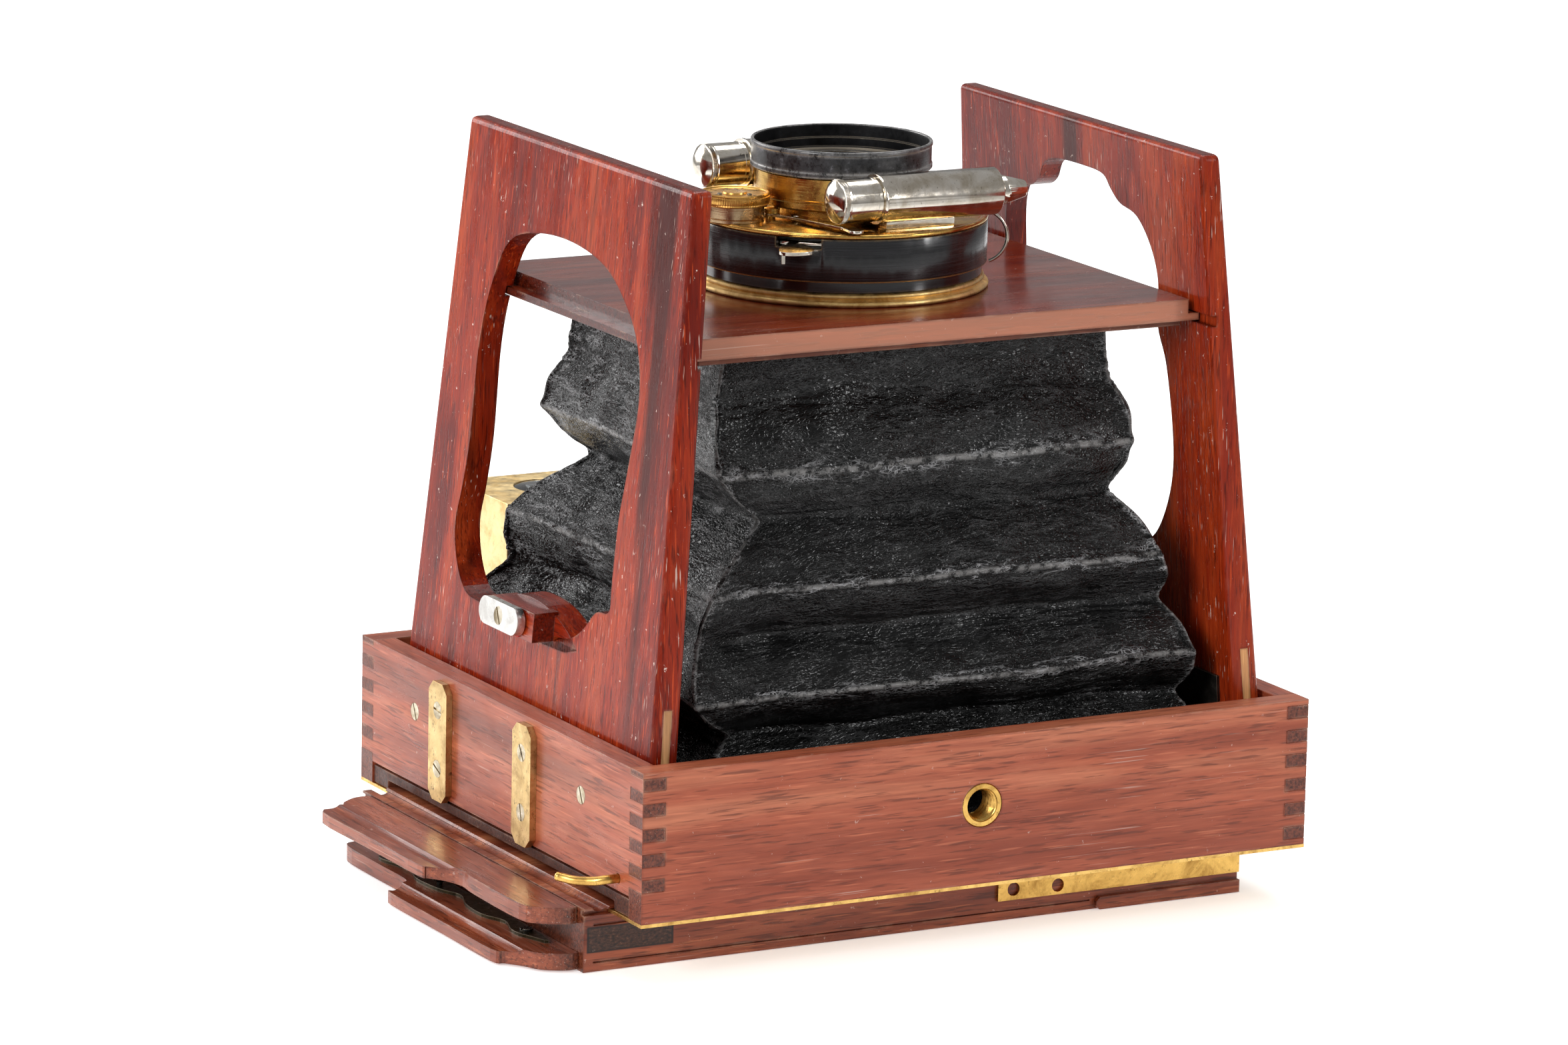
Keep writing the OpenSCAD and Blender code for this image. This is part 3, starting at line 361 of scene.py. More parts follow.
def black_lacquer(name, worn=0.5, rough=0.24, bands=()):
    """Black lacquer over brass, turned on a lathe; bands are heights where it is worn to the metal."""
    m = Shader(name)
    lines = m.noise(lathe_lines(m, (0, 0), 1500), detail=3, rough=0.7)
    brushed = m.noise((45, 45, 2200), (1, 2, 3), detail=3, rough=0.7)
    base = m.ramp(m.times(m.math("ADD", lines, brushed), 0.5),
                  (0.38, (0.004, 0.004, 0.005)), (0.55, (0.011, 0.011, 0.013)), (0.7, (0.035, 0.035, 0.040)))
    patch = m.noise(420, (6, 2, 4), detail=6, rough=0.75)
    metal = m.times(m.edges(0.0009), m.range(patch, 0.38, 0.56))
    metal = m.times(metal, worn)
    for low, high in bands:
        ring = m.times(m.inside(2, low, high, 0.0001), m.range(patch, 0.25, 0.45))
        metal = m.math("MAXIMUM", metal, ring)
    m.to("Base Color", m.mix(metal, base, (0.62, 0.40, 0.16)))
    m.to("Metallic", metal)
    m.to("Roughness", m.range(brushed, 0.3, 0.7, rough * 0.7, rough * 1.5))
    m.set("Coat Weight", 0.35)
    m.set("Coat Roughness", 0.15)
    m.to("Normal", m.bump(brushed, 0.25, 0.00005))
    return m.material


def worn_rim_lacquer(name):
    """The hood: black lacquer rubbed grey in cloudy patches and bright along its rims."""
    m = Shader(name)
    patch = m.noise(300, (2, 9, 4), detail=7, rough=0.78)
    grey = m.ramp(patch, (0.40, (0.008, 0.008, 0.009)), (0.56, (0.03, 0.03, 0.033)),
                  (0.68, (0.17, 0.17, 0.19)))
    rim = m.times(m.edges(0.0011), m.range(patch, 0.36, 0.5))
    m.to("Base Color", m.mix(rim, grey, (0.62, 0.60, 0.58)))
    m.to("Metallic", m.math("MAXIMUM", rim, m.range(patch, 0.56, 0.7, 0, 0.8)))
    m.to("Roughness", m.range(patch, 0.35, 0.7, 0.21, 0.48))
    m.to("Normal", m.bump(m.noise(lathe_lines(m, (0, 0), 1800), detail=2), 0.3, 0.00006))
    return m.material


def leather(name):
    """Glossy black goatskin: fine pebbles crossed by hair cells, rubbed pale along the folds, with painted
    highlights on its fine wrinkles.
    """
    m = Shader(name)
    fold = m.node("Attribute", attribute_name="fold").outputs["Fac"]
    # Cells in the plane of the skin, slightly drawn out along the folds
    skin = m.node("UVMap", uv_map="skin").outputs["UV"]
    wander = m.noise(70, detail=3, colour=True)
    drift = m.node("VectorMath", {0: wander, 1: (0.0016, 0.0016, 0)}, operation="MULTIPLY").outputs["Vector"]
    skin = m.node("VectorMath", {0: skin, 1: drift}, operation="ADD").outputs["Vector"]

    def skin_at(x, y, turn=0.0):
        inputs = {"Vector": skin, "Scale": (x, y, 1), "Rotation": (0, 0, turn)}
        return m.node("Mapping", inputs).outputs["Vector"]

    pebble = m.cells(skin_at(760, 900), "SMOOTH_F1", Smoothness=0.3)
    line_a = m.cells(skin_at(420, 1050, 0.5), "DISTANCE_TO_EDGE")
    line_b = m.cells(skin_at(420, 1050, -0.55), "DISTANCE_TO_EDGE")
    nearest = m.math("MINIMUM", line_a, line_b)
    lines = m.range(nearest, 0.0, 0.12)
    crease = m.noise(skin_at(95, 330), detail=4, rough=0.6, twist=0.9)
    lump = m.noise((42, 42, 60), (3, 5, 1), detail=3, rough=0.5)
    rub = m.noise(330, detail=5, rough=0.7)
    where = m.range(m.noise((26, 26, 40), (1, 4, 2), detail=2), 0.42, 0.62)
    worn = m.times(m.range(fold, 0.72, 1.0), m.range(rub, 0.42, 0.56))
    base = m.ramp(rub, (0.35, (0.0015, 0.0015, 0.0015)), (0.6, (0.003, 0.003, 0.003)),
                  (0.8, (0.008, 0.008, 0.008)))
    base = m.mix(m.times(worn, 0.45), base, (0.42, 0.41, 0.40))
    # Painted highlights: pale glints on the fine wrinkles, most of all beside the folds and on the side
    # panels
    beside = m.math("MAXIMUM", m.range(fold, 0.01, 0.4, 0.10, 0.8), m.range(m.facing(0), 0.3, 0.9, 0.0, 0.7))
    painted_glint = m.times(m.range(nearest, 0.075, 0.02), m.range(crease, 0.50, 0.60))
    painted_glint = m.times(painted_glint, m.range(where, 0, 1, 0.4, 1.0))
    base = m.mix(m.times(painted_glint, beside), base, (0.45, 0.45, 0.46))
    m.to("Base Color", base)
    m.to("Roughness", m.range(m.noise(180, (7, 7, 1), detail=5, rough=0.7),
                              0.3, 0.7, 0.12, 0.27))
    m.set("Specular IOR Level", 0.34)
    grain = m.math("ADD", m.times(pebble, -0.8), m.times(lines, 0.7))
    wrinkle = m.times(crease, m.range(where, 0, 1, 0.15, 1.0))
    normal = m.bump(m.times(grain, m.range(where, 0, 1, 0.35, 1.0)), 0.55, 0.00045)
    normal = m.bump(wrinkle, 0.9, 0.0016, normal)
    normal = m.bump(lump, 0.6, 0.0034, normal)
    m.to("Normal", normal)
    return m.material


def glass(name, tint=(0.9, 0.95, 0.96)):
    m = Shader(name)
    m.set("Base Color", (*tint, 1))
    m.to("Roughness", m.range(m.noise(160, detail=4), 0.45, 0.8, 0.01, 0.06))
    m.set("Transmission Weight", 1.0)
    m.set("IOR", 1.52)
    m.set("Coat Weight", 0.3)
    return m.material


def frosted(name):
    m = Shader(name)
    cloud = m.noise(400, detail=4)
    m.to("Base Color", m.ramp(cloud, (0.3, (0.62, 0.66, 0.66)), (0.7, (0.80, 0.83, 0.82))))
    m.set("Roughness", 0.55)
    m.set("Transmission Weight", 0.35)
    m.to("Normal", m.bump(m.noise(4000), 0.3, 0.00003))
    return m.material


def mirror(name):
    m = Shader(name)
    cloud = m.noise(60)
    m.to("Base Color", m.ramp(cloud, (0.3, (0.78, 0.80, 0.80)), (0.7, (0.9, 0.91, 0.91))))
    m.set("Metallic", 1.0)
    m.set("Roughness", 0.03)
    return m.material


def red_felt(name):
    m = Shader(name)
    m.to("Base Color", m.ramp(m.noise(1800, detail=4), (0.3, (0.35, 0.01, 0.01)),
                              (0.7, (0.75, 0.03, 0.03))))
    m.set("Roughness", 0.9)
    m.to("Normal", m.bump(m.noise(3000), 0.6, 0.0001))
    return m.material


# ---------------------------------------------------------------- mesh helpers

def new_piece(name, mesh, material, body, replaces=()):
    piece = bpy.data.objects.new(name, mesh)
    bpy.context.scene.collection.objects.link(piece)
    piece.data.materials.append(material)
    if body:
        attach(piece, body)
    if replaces:
        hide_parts(*replaces)
    return piece


def mesh_of(name, made):
    """The mesh of a finished bmesh."""
    bmesh.ops.recalc_face_normals(made, faces=made.faces)
    mesh = bpy.data.meshes.new(name)
    made.to_mesh(mesh)
    made.free()
    return mesh


def grid_mesh(name, rows, caps=True):
    """A mesh from rings of points, each ring the same length."""
    made = bmesh.new()
    rings = [[made.verts.new(p) for p in row] for row in rows]
    count = len(rings[0])
    for low, high in zip(rings, rings[1:]):
        for i in range(count):
            j = (i + 1) % count
            made.faces.new((low[i], low[j], high[j], high[i]))
    if caps:
        made.faces.new(list(reversed(rings[0])))
        made.faces.new(rings[-1])
    for face in made.faces:
        face.smooth = True
    return mesh_of(name, made)


def weld_mesh(mesh):
    """Joins points that lie in the same place."""
    made = bmesh.new()
    made.from_mesh(mesh)
    bmesh.ops.remove_doubles(made, verts=made.verts, dist=1e-7)
    bmesh.ops.recalc_face_normals(made, faces=made.faces)
    made.to_mesh(mesh)
    made.free()


def turned_mesh(name, profile, sides, centre=(0, 0), ripple=None):
    """A body turned about a vertical axis from points (radius, height). ripple changes a radius by angle."""
    rows = []
    for radius, height in profile + [profile[0]]:
        ring = []
        for i in range(sides):
            a = 2 * math.pi * i / sides
            r = radius + (ripple(a, radius, height) if ripple else 0)
            ring.append((centre[0] + r * math.cos(a), centre[1] + r * math.sin(a), height))
        rows.append(ring)
    mesh = grid_mesh(name, rows, caps=False)
    weld_mesh(mesh)
    return mesh


def arc(centre, radius, start, end, steps=6):
    """Points on an arc in a profile, angles in degrees."""
    return [(centre[0] + radius * math.cos(math.radians(start + (end - start) * i / steps)),
             centre[1] + radius * math.sin(math.radians(start + (end - start) * i / steps)))
            for i in range(steps + 1)]


def crisp(mesh, degrees=30):
    """Marks edges sharper than an angle, so that smooth faces keep their creases."""
    made = bmesh.new()
    made.from_mesh(mesh)
    for edge in made.edges:
        if len(edge.link_faces) == 2 and edge.calc_face_angle() > math.radians(degrees):
            edge.smooth = False
    made.to_mesh(mesh)
    made.free()


def big_round(piece, radius, picked):
    """Rounds the arrises between picked vertices more than the rest, such as the outline of a plank."""
    group = piece.vertex_groups.new(name="outline")
    chosen = [v.index for v in piece.data.vertices if picked(piece.matrix_world @ v.co / MM)]
    group.add(chosen, 1.0, "REPLACE")
    round_off = piece.modifiers.new("outline", "BEVEL")
    round_off.width = radius * MM
    round_off.segments = 5
    round_off.limit_method = "VGROUP"
    round_off.vertex_group = "outline"
    round_off.use_clamp_overlap = True


# A wing at its foot and at its top, in millimetres: height, half width, outer and inner face's distance from
# the middle
WING_FOOT = (44, 76.4, 97.66, 89.06)
WING_TOP = (211.9, 67.75, 82.4, 76.1)


def wing_at(height):
    """A wing's half width and the distances of its two faces at a height."""
    share = (height - WING_FOOT[0]) / (WING_TOP[0] - WING_FOOT[0])
    return [foot + (top - foot) * share for foot, top in zip(WING_FOOT[1:], WING_TOP[1:])]


def wing_outline(p):
    """True on the long arrises of a wing: round its near and far edges and its top, on both faces."""
    half, outer, inner = wing_at(p.z)
    on_face = min(abs(abs(p.x) - outer), abs(abs(p.x) - inner)) < 0.35
    return on_face and (abs(abs(p.y) - half) < 0.3 or p.z > WING_TOP[0] - 0.4)


OUTLINES = {"left_wing": (2.9, wing_outline), "right_wing": (2.9, wing_outline)}


def dress(name, material, bevel):
    """Gives a CAD node its material and rounds its sharp arrises by modifiers; bevel is in millimetres."""
    piece = NODES[name]
    piece.data.materials.clear()
    piece.data.materials.append(material)
    for face in piece.data.polygons:
        face.material_index = 0
    if bevel:
        weld = piece.modifiers.new("weld", "WELD")
        weld.merge_threshold = 2e-6
        flat = piece.modifiers.new("flat", "DECIMATE")
        flat.decimate_type = "DISSOLVE"
        flat.angle_limit = math.radians(0.6)
        if name in OUTLINES:
            big_round(piece, *OUTLINES[name])
        round_off = piece.modifiers.new("round", "BEVEL")
        round_off.width = bevel * MM
        round_off.segments = 2
        round_off.limit_method = "ANGLE"
        round_off.angle_limit = math.radians(32)
        round_off.harden_normals = True
        round_off.use_clamp_overlap = True
        round_off.miter_outer = "MITER_ARC"
    return piece


# ---------------------------------------------------------------- finishes of the CAD nodes

def tone(red, green, blue):
    """A colour as the eye names it, 0 to 255, as the linear colour that a shader takes."""
    def linear(c):
        c = c / 255
        return c / 12.92 if c <= 0.04045 else ((c + 0.055) / 1.055) ** 2.4
    return (linear(red), linear(green), linear(blue))


def palette(dark, middle, light, **more):
    """The three colours of a wood, and what else its pieces share."""
    return dict(dark=tone(*dark), middle=tone(*middle), light=tone(*light), **more)


def end_block(m, base):
    """The plate holder's end piece shows its end grain on the near face, inside a fine dark joint line."""
    x0, x1, z0, z1 = -0.112, -0.0856, 0.0053, 0.0126
    face = -0.0698
    near = m.range(m.axes()[1], face + 0.0003, face)
    block = m.times(m.times(m.inside(0, x0, x1, 0.0002), m.inside(2, z0, z1, 0.0002)), near)
    core = m.times(m.inside(0, x0 + 0.0006, x1 - 0.0006, 0.0002),
                   m.inside(2, z0 + 0.0005, z1 - 0.0005, 0.0002))
    dots = m.noise((900, 900, 1500), (3, 3, 3), detail=3)
    grain = m.ramp(dots, (0.35, tone(26, 13, 8)), (0.6, tone(66, 38, 26)), (0.75, tone(104, 70, 50)))
    base = m.mix(block, base, tone(22, 10, 6))
    return m.mix(m.times(block, core), base, grain)


def pale_edge(m, base):
    """The lens board's faces that look along Y, its near and far edges, are made paler than its top."""
    return m.mix(m.range(m.facing(1), 0.7, 0.95, 0.0, 0.45), base, tone(226, 160, 128))


def make_finishes():
    mahogany = palette((104, 18, 4), (148, 40, 12), (176, 66, 26))
    board = palette((92, 22, 8), (124, 42, 18), (150, 64, 34))
    case = palette((140, 62, 38), (170, 86, 58), (192, 114, 82), pores=0.6, end=0.35)
    holder = palette((116, 50, 28), (150, 76, 48), (182, 108, 72), pores=0.7)
    inner = palette((84, 40, 26), (112, 58, 38), (140, 80, 52))
    pale = palette((186, 122, 70), (212, 148, 90), (228, 172, 116))
    low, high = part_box("speed_dial")
    dial = tuple((low + high) / 2)[:2]
    gold, old_gold = (214, 172, 94), (158, 118, 58)
    return {
        "wing": wood("wing_mahogany", 2, **mahogany, seed=1, gloss=0.26, coat=0.1, streak=0.9, specks=0.8,
                     shine=0.2),
        "latch": wood("latch_mahogany", 1, **mahogany, seed=2, gloss=0.24, coat=0.3),
        "board": wood("board_mahogany", 0, **board, seed=3, gloss=0.2, coat=0.4, extra=pale_edge),
        "case_long": wood("case_mahogany_long", 0, **case, seed=4, gloss=0.34, coat=0.05),
        "case_side": wood("case_mahogany_side", 1, **case, seed=5, gloss=0.3, coat=0.1),
        "holder": wood("holder_mahogany", 0, **holder, seed=6, gloss=0.3, coat=0.1, extra=end_block),
        "slide": wood("slide_mahogany", 1, **holder, seed=7, gloss=0.28, coat=0.15),
        "inner_x": wood("inner_mahogany", 0, **inner, seed=8, gloss=0.5, coat=0.1),
        "inner_y": wood("rail_mahogany", 1, **inner, seed=9, gloss=0.5, coat=0.1),
        "spline": wood("spline_boxwood", 2, **pale, seed=10, gloss=0.4, coat=0.2, pores=0.3, end=0.9),
        "brass": brass("brass", gold, old_gold),
        "strap": brass("strap_brass", (212, 182, 126), (166, 134, 84), rough=0.32, tarnish=0.95,
                       scratches=0.9),
        "runner": brass("runner_brass", (230, 190, 112), (172, 130, 70), rough=0.3, tarnish=0.7),
        "turned": brass("turned_brass", gold, old_gold, rough=0.2, turned=(0, 0), tarnish=0.4,
                        scratches=0.7),
        "flange": brass("flange_brass", (236, 204, 140), (196, 156, 92), rough=0.42, turned=(0, 0),
                        tarnish=0.3, scratches=0.4),
        "dial": brass("dial_brass", (230, 178, 96), (170, 120, 58), rough=0.28,
                      turned=dial, tarnish=0.5),
        "base": brass("base_brass", (220, 190, 150), (170, 140, 104), rough=0.22,
                      turned=dial, tarnish=0.35),
        "finder": brass("finder_brass", (240, 214, 160), (214, 180, 118), rough=0.42, tarnish=0.35),
        "nickel": nickel("nickel"),
        "button": nickel("button_nickel", (0.80, 0.79, 0.76), (0.60, 0.58, 0.55), rough=0.26, spots=0.25),
        "screw": nickel("screw_steel", tone(196, 184, 158), tone(128, 112, 84), rough=0.3, spots=0.6),
        "steel": dark_steel("hinge_steel"),
        "lock": dark_steel("lock_steel", tone(74, 66, 44), shine=0.34),
        "black_screw": dark_steel("black_screw", (0.02, 0.02, 0.02), shine=0.28),
        "drum": black_lacquer("drum_lacquer", bands=((0.1773, 0.1776),)),
        "neck": black_lacquer("neck_lacquer", worn=0.15, rough=0.12),
        "hood": worn_rim_lacquer("hood_lacquer"),
        "blade": dark_steel("blade_black", (0.012, 0.012, 0.013), shine=0.5),
        "septum": dark_steel("septum_black", (0.02, 0.02, 0.02), shine=0.6),
        "glass": glass("lens_glass"),
        "plate_glass": glass("plate_glass", (0.86, 0.92, 0.90)),
        "ground": frosted("ground_glass"),
        "mirror": mirror("mirror_silver"),
        "leather": leather("goat_leather"),
        "red": red_felt("red_felt"),
    }


# Each CAD node's finish and the rounding of its arrises in millimetres
DRESSED = {
    "front_wall": ("case_long", 0.35), "rear_wall": ("case_long", 0.35),
    "left_wall": ("case_side", 0.35), "right_wall": ("case_side", 0.35),
    "runner_plate": ("runner", 0.12), "strap_plates": ("strap", 0.3), "case_screws": ("screw", 0.1),
    "back_frame": ("inner_x", 0.4), "hinge_rails": ("inner_y", 0.4),
    "fixed_leaves": ("steel", 0.12), "hinge_pins": ("steel", 0),
    "finder_body": ("finder", 0.4), "finder_mirror": ("mirror", 0), "finder_screen": ("ground", 0),
    "finder_foot": ("strap", 0.4),
    "left_wing": ("wing", 0.7), "right_wing": ("wing", 0.7), "left_splines": ("spline", 0),
    "right_splines": ("spline", 0), "latch_block": ("latch", 0.8), "left_leaves": ("steel", 0.12),
    "right_leaves": ("steel", 0.12), "turn_button": ("button", 0.45), "button_screw": ("screw", 0.15),
    "lens_board": ("board", 0.9), "board_cleat": ("inner_x", 0.4), "lens_screws": ("brass", 0.12),
    "neck_ring": ("neck", 0), "shutter_drum": ("drum", 0.25),
    "rear_lens": ("glass", 0), "finder_lens": ("glass", 0), "air_cylinders": ("nickel", 0.12),
    "cylinder_nozzle": ("nickel", 0.12), "cylinder_bracket": ("nickel", 0.2),
    "wire_clip": ("nickel", 0), "trigger": ("nickel", 0.12), "link_lever": ("nickel", 0.15),
    "left_blade": ("blade", 0), "right_blade": ("blade", 0), "release_piston": ("turned", 0.15),
    "delay_piston": ("turned", 0.15), "holder_frame": ("holder", 0.5), "septum": ("septum", 0),
    "glass_plates": ("plate_glass", 0), "edge_strip": ("brass", 0.15), "upper_slide": ("slide", 0.6),
    "lower_slide": ("slide", 0.6), "lock_plate": ("lock", 0.2), "lock_screws": ("black_screw", 0.1),
}


# ---------------------------------------------------------------- bellows

# Folds of the leather from the lens board down, in millimetres: height, the four walls' distances from the
# middle (left, right, near, far), then how far the four corners stick out: near left, near right, far right
# and far left
FOLDS = [
    (162.4, 60, 60, 45, 45, (0, 0, 0, 0)),
    (148.0, 60.5, 60.5, 45.5, 45.5, (4, 0, 0, 0)),
    (129.4, 65.4, 65.2, 54, 54.5, (0, 0, 0, 0)),
    (115.5, 51.5, 58.5, 49.5, 49.5, (-1.5, 1, 1, 0)),
    (98.5, 71.6, 70.6, 63.2, 63, (1, 0, 0, 0)),
    (85.0, 64.5, 66.5, 54.4, 54.4, (13, 7, 7, 9)),
    (70.8, 79.2, 78.6, 69.6, 69, (1.5, 0, 0, 0)),
    (59.4, 66, 71, 61, 61, (-2, 5, 5, 3)),
    (48.8, 79, 78.6, 70.4, 70.2, (0, 0, 0, 0)),
    (38.0, 69, 69, 61.6, 61.6, (3, 3, 3, 3)),
    (30.2, 78.4, 78.4, 70.2, 70.2, (0, 0, 0, 0)),
    (22.8, 76, 76, 68, 68, (0, 0, 0, 0)),
]
RIDGES = (2, 4, 6, 8, 10)
VALLEYS = (1, 3, 5, 7, 9)
REACH = 30
SKIN = 1.2


def fold_rows(step=0.62):
    """The folds as fine rows down the leather, bent softly over each fold: numbers as in FOLDS, then how
    near the row is to a ridge and to a valley, its length along the skin, and its place counted in folds."""
    table = np.array([(z, *walls, *corners) for z, *walls, corners in FOLDS], float)
    lengths = np.hypot(np.diff(table[:, 0]), np.diff(table[:, 3]))
    at = np.concatenate([[0], np.cumsum(lengths)])
    where = np.arange(0, at[-1], step)
    line = np.stack([np.interp(where, at, table[:, k]) for k in range(9)], axis=1)
    phase = np.interp(where, at, np.arange(len(at)))
    # Panels swell outwards a little between their folds, but not the neck
    swell = 1.2 * np.sin(math.pi * (phase % 1)) ** 2 * (phase > 1)
    line[:, 1:5] += swell[:, None]
    kernel = np.exp(-0.5 * (np.arange(-4, 5) * step / 0.75) ** 2)
    kernel /= kernel.sum()
    spread = np.pad(line, ((4, 4), (0, 0)), mode="edge")
    line = np.stack([np.convolve(spread[:, k], kernel, "valid") for k in range(9)], axis=1)

    def near(folds, reach):
        return np.max([np.exp(-0.5 * ((where - at[k]) / reach) ** 2) for k in folds], axis=0)

    return [part.tolist() for part in (line, near(RIDGES, 1.6), near(VALLEYS, 5), where, phase)]


def fold_ring(row, count):
    """Points round the leather at one height. Walls run straight, then curve out to their corners."""
    _, left, right, near, far, *sticks = row
    corners = [Vector((-left, -near)), Vector((right, -near)), Vector((right, far)), Vector((-left, far))]
    outward = [Vector((-0.85, -0.53)), Vector((0.85, -0.53)), Vector((0.85, 0.53)), Vector((-0.85, 0.53))]
    walls = [Vector((0, -1)), Vector((1, 0)), Vector((0, 1)), Vector((-1, 0))]
    points = []
    for i in range(4):
        a, b = corners[i], corners[(i + 1) % 4]
        span = (b - a).length
        for k in range(count):
            # Points crowd towards the corners
            t = 0.5 - 0.5 * math.cos(math.pi * k / count)
            point = a.lerp(b, t)
            bow = 0
            for corner, share in ((i, t), ((i + 1) % 4, 1 - t)):
                away = min(1.0, share * span / REACH)
                point = point + outward[corner] * sticks[corner] * (1 - away) ** 2
                # Loose cloth bows in slightly beside each corner
                bow += math.sin(math.pi * away)
            points.append((point - walls[i] * 0.5 * bow, walls[i], min(t, 1 - t) * span))
    return points


def make_bellows(material):
    lines, ridges, valleys, along, phase = fold_rows()
    count = 72
    rows, inner_rows, marks = [], [], []
    for line, ridge, valley, s, p in zip(lines, ridges, valleys, along, phase):
        row, inside, mark = [], [], []
        for point, out, corner in fold_ring(line, count):
            mid = Vector((point.x, point.y, line[0]))
            ends = min(1.0, s / 10, (along[-1] - s) / 5)
            # Slow waves, puckers that die out at a ridge, and fine wrinkles that run along each valley
            sway = noise.noise(mid * 0.03 + Vector((3, 7, 1))) * 0.7
            pucker = noise.noise(Vector((point.x * 0.09, point.y * 0.09, p * 1.3 + 5))) * 1.5 * (1 - ridge)
            wrinkle = noise.noise(Vector((point.x * 0.07, point.y * 0.07, s * 0.95)))
            wrinkle += 0.5 * noise.noise(Vector((point.x * 0.2, point.y * 0.2, s * 1.7 + 9)))
            d = ends * (sway + pucker + 0.6 * wrinkle * valley)
            # The seam stands up as a thin bead along each corner
            bead = 0.55 * math.exp(-(corner / 0.9) ** 2)
            lift = ends * noise.noise(Vector((point.x * 0.035, point.y * 0.035, p * 0.6))) * 1.1
            mid.z += lift
            row.append(mid + out.to_3d() * (d + bead))
            inside.append(mid + out.to_3d() * (d - SKIN))
            mark.append(max(ridge, 0.9 * math.exp(-(corner / 1.3) ** 2)))
        rows.append(row)
        inner_rows.append(inside)
        marks.append(mark)
    made = bmesh.new()
    fold = made.verts.layers.float.new("fold")
    uv = made.loops.layers.uv.new("skin")
    total = len(rows[0])
    outer = [[made.verts.new(p * MM) for p in row] for row in rows]
    inner = [[made.verts.new(p * MM) for p in row] for row in inner_rows]
    for ring, mark in zip(outer, marks):
        for vert, value in zip(ring, mark):
            vert[fold] = value
    girth = [0.0]
    middle = rows[len(rows) // 2]
    for i in range(total):
        girth.append(girth[-1] + (middle[(i + 1) % total] - middle[i]).length * MM)

    def skin_face(corners, uvs):
        face = made.faces.new(corners)
        face.smooth = True
        for loop, place in zip(face.loops, uvs):
            loop[uv].uv = place

    for i in range(len(rows) - 1):
        v0, v1 = along[i] * MM, along[i + 1] * MM
        for j in range(total):
            k = (j + 1) % total
            u0, u1 = girth[j], girth[j + 1]
            skin_face((outer[i][j], outer[i + 1][j], outer[i + 1][k], outer[i][k]),
                      ((u0, v0), (u0, v1), (u1, v1), (u1, v0)))
            skin_face((inner[i][j], inner[i][k], inner[i + 1][k], inner[i + 1][j]),
                      ((u0, v0), (u1, v0), (u1, v1), (u0, v1)))
    for i in (0, len(rows) - 1):
        for j in range(total):
            k = (j + 1) % total
            pair = (outer[i][j], outer[i][k], inner[i][k], inner[i][j])
            skin_face(pair if i == 0 else tuple(reversed(pair)), ((0, 0), (0, 0), (0, 0), (0, 0)))
    mesh = mesh_of("bellows_leather", made)
    piece = new_piece("bellows_leather", mesh, material, None, ["bellows"])
    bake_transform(piece)


# ---------------------------------------------------------------- turned and bent pieces

def make_bush(material):
    """Brass tripod bush with its real screw thread, cut as a spiral."""
    low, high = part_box("tripod_bush")
    centre = (low + high) / 2
    out_r = (high.x - low.x) / 2
    length = high.y - low.y
    pitch, root, crest = 1.5875 * MM, 4.75 * MM, 4.0 * MM
    steps, sides = 72, 72
    profile = [(out_r - 0.3 * MM, 0), (out_r, 0.3 * MM), (out_r, length)]
    made = [[point] * sides for point in profile]
    for i in range(steps + 1):
        depth = length * (1 - i / steps)
        ring = []
        for j in range(sides):
            turn = (depth / pitch + j / sides) % 1
            cut = abs(2 * turn - 1)
            near_face = min(1, depth / (0.9 * MM))
            radius = crest + (root - crest) * (cut * near_face + (1 - near_face))
            ring.append((radius, depth))
        made.append(ring)
    rows = []
    for ring in made + [made[0]]:
        row = []
        for j, (radius, depth) in enumerate(ring):
            a = 2 * math.pi * j / sides
            row.append((centre.x + radius * math.cos(a), low.y + depth, centre.z + radius * math.sin(a)))
        rows.append(row)
    mesh = grid_mesh("bush", rows, caps=False)
    weld_mesh(mesh)
    crisp(mesh, 40)
    new_piece("tripod_bush_threaded", mesh, material, "case", ["tripod_bush"])


def turned_piece(name, profile, material, body, replaces=(), centre=(0, 0), sides=160, ripple=None):
    """A piece turned about a vertical axis; the profile is in millimetres, radius then height."""
    scaled = [(r * MM, z * MM) for r, z in profile]
    mesh = turned_mesh(name, scaled, sides, (centre[0] * MM, centre[1] * MM), ripple=ripple)
    crisp(mesh, 35)
    return new_piece(name, mesh, material, body, replaces)


def make_flange(material):
    """Flange with a beaded edge in two steps, in the sizes of its CAD node."""
    low, high = (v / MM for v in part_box("lens_flange"))
    r, z1 = high.x, high.z
    z0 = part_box("lens_board")[1].z / MM
    bore, spigot = 18.5, 24.0
    profile = [(bore, low.z), (spigot, low.z), (spigot, z0), (r - 0.4, z0)]
    profile += arc((r - 0.8, z0 + 0.8), 0.8, -90, 90)
    profile += [(r - 1.2, z0 + 1.75)]
    profile += arc((r - 2.0, z0 + 2.75), 0.75, -60, 80)
    profile += [(r - 2.6, z1), (bore, z1)]
    turned_piece("lens_flange_beaded", profile, material, "lens_board", ["lens_flange"])


def make_cover(material):
    """Cover of the drum with a rolled rim and a fine groove in its top."""
    low, high = (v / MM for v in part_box("drum_cover"))
    r, bore = high.x, 16.0
    mid = (low.z + high.z) / 2
    top = high.z - 0.1
    profile = [(bore, low.z), (r - 0.5, low.z)] + arc((r - 0.7, mid), 0.7, -80, 80)
    profile += [(r - 1.6, top), (r - 1.9, top - 0.2), (r - 2.3, top), (bore, top)]
    turned_piece("drum_cover_turned", profile, material, "lens_board", ["drum_cover"])


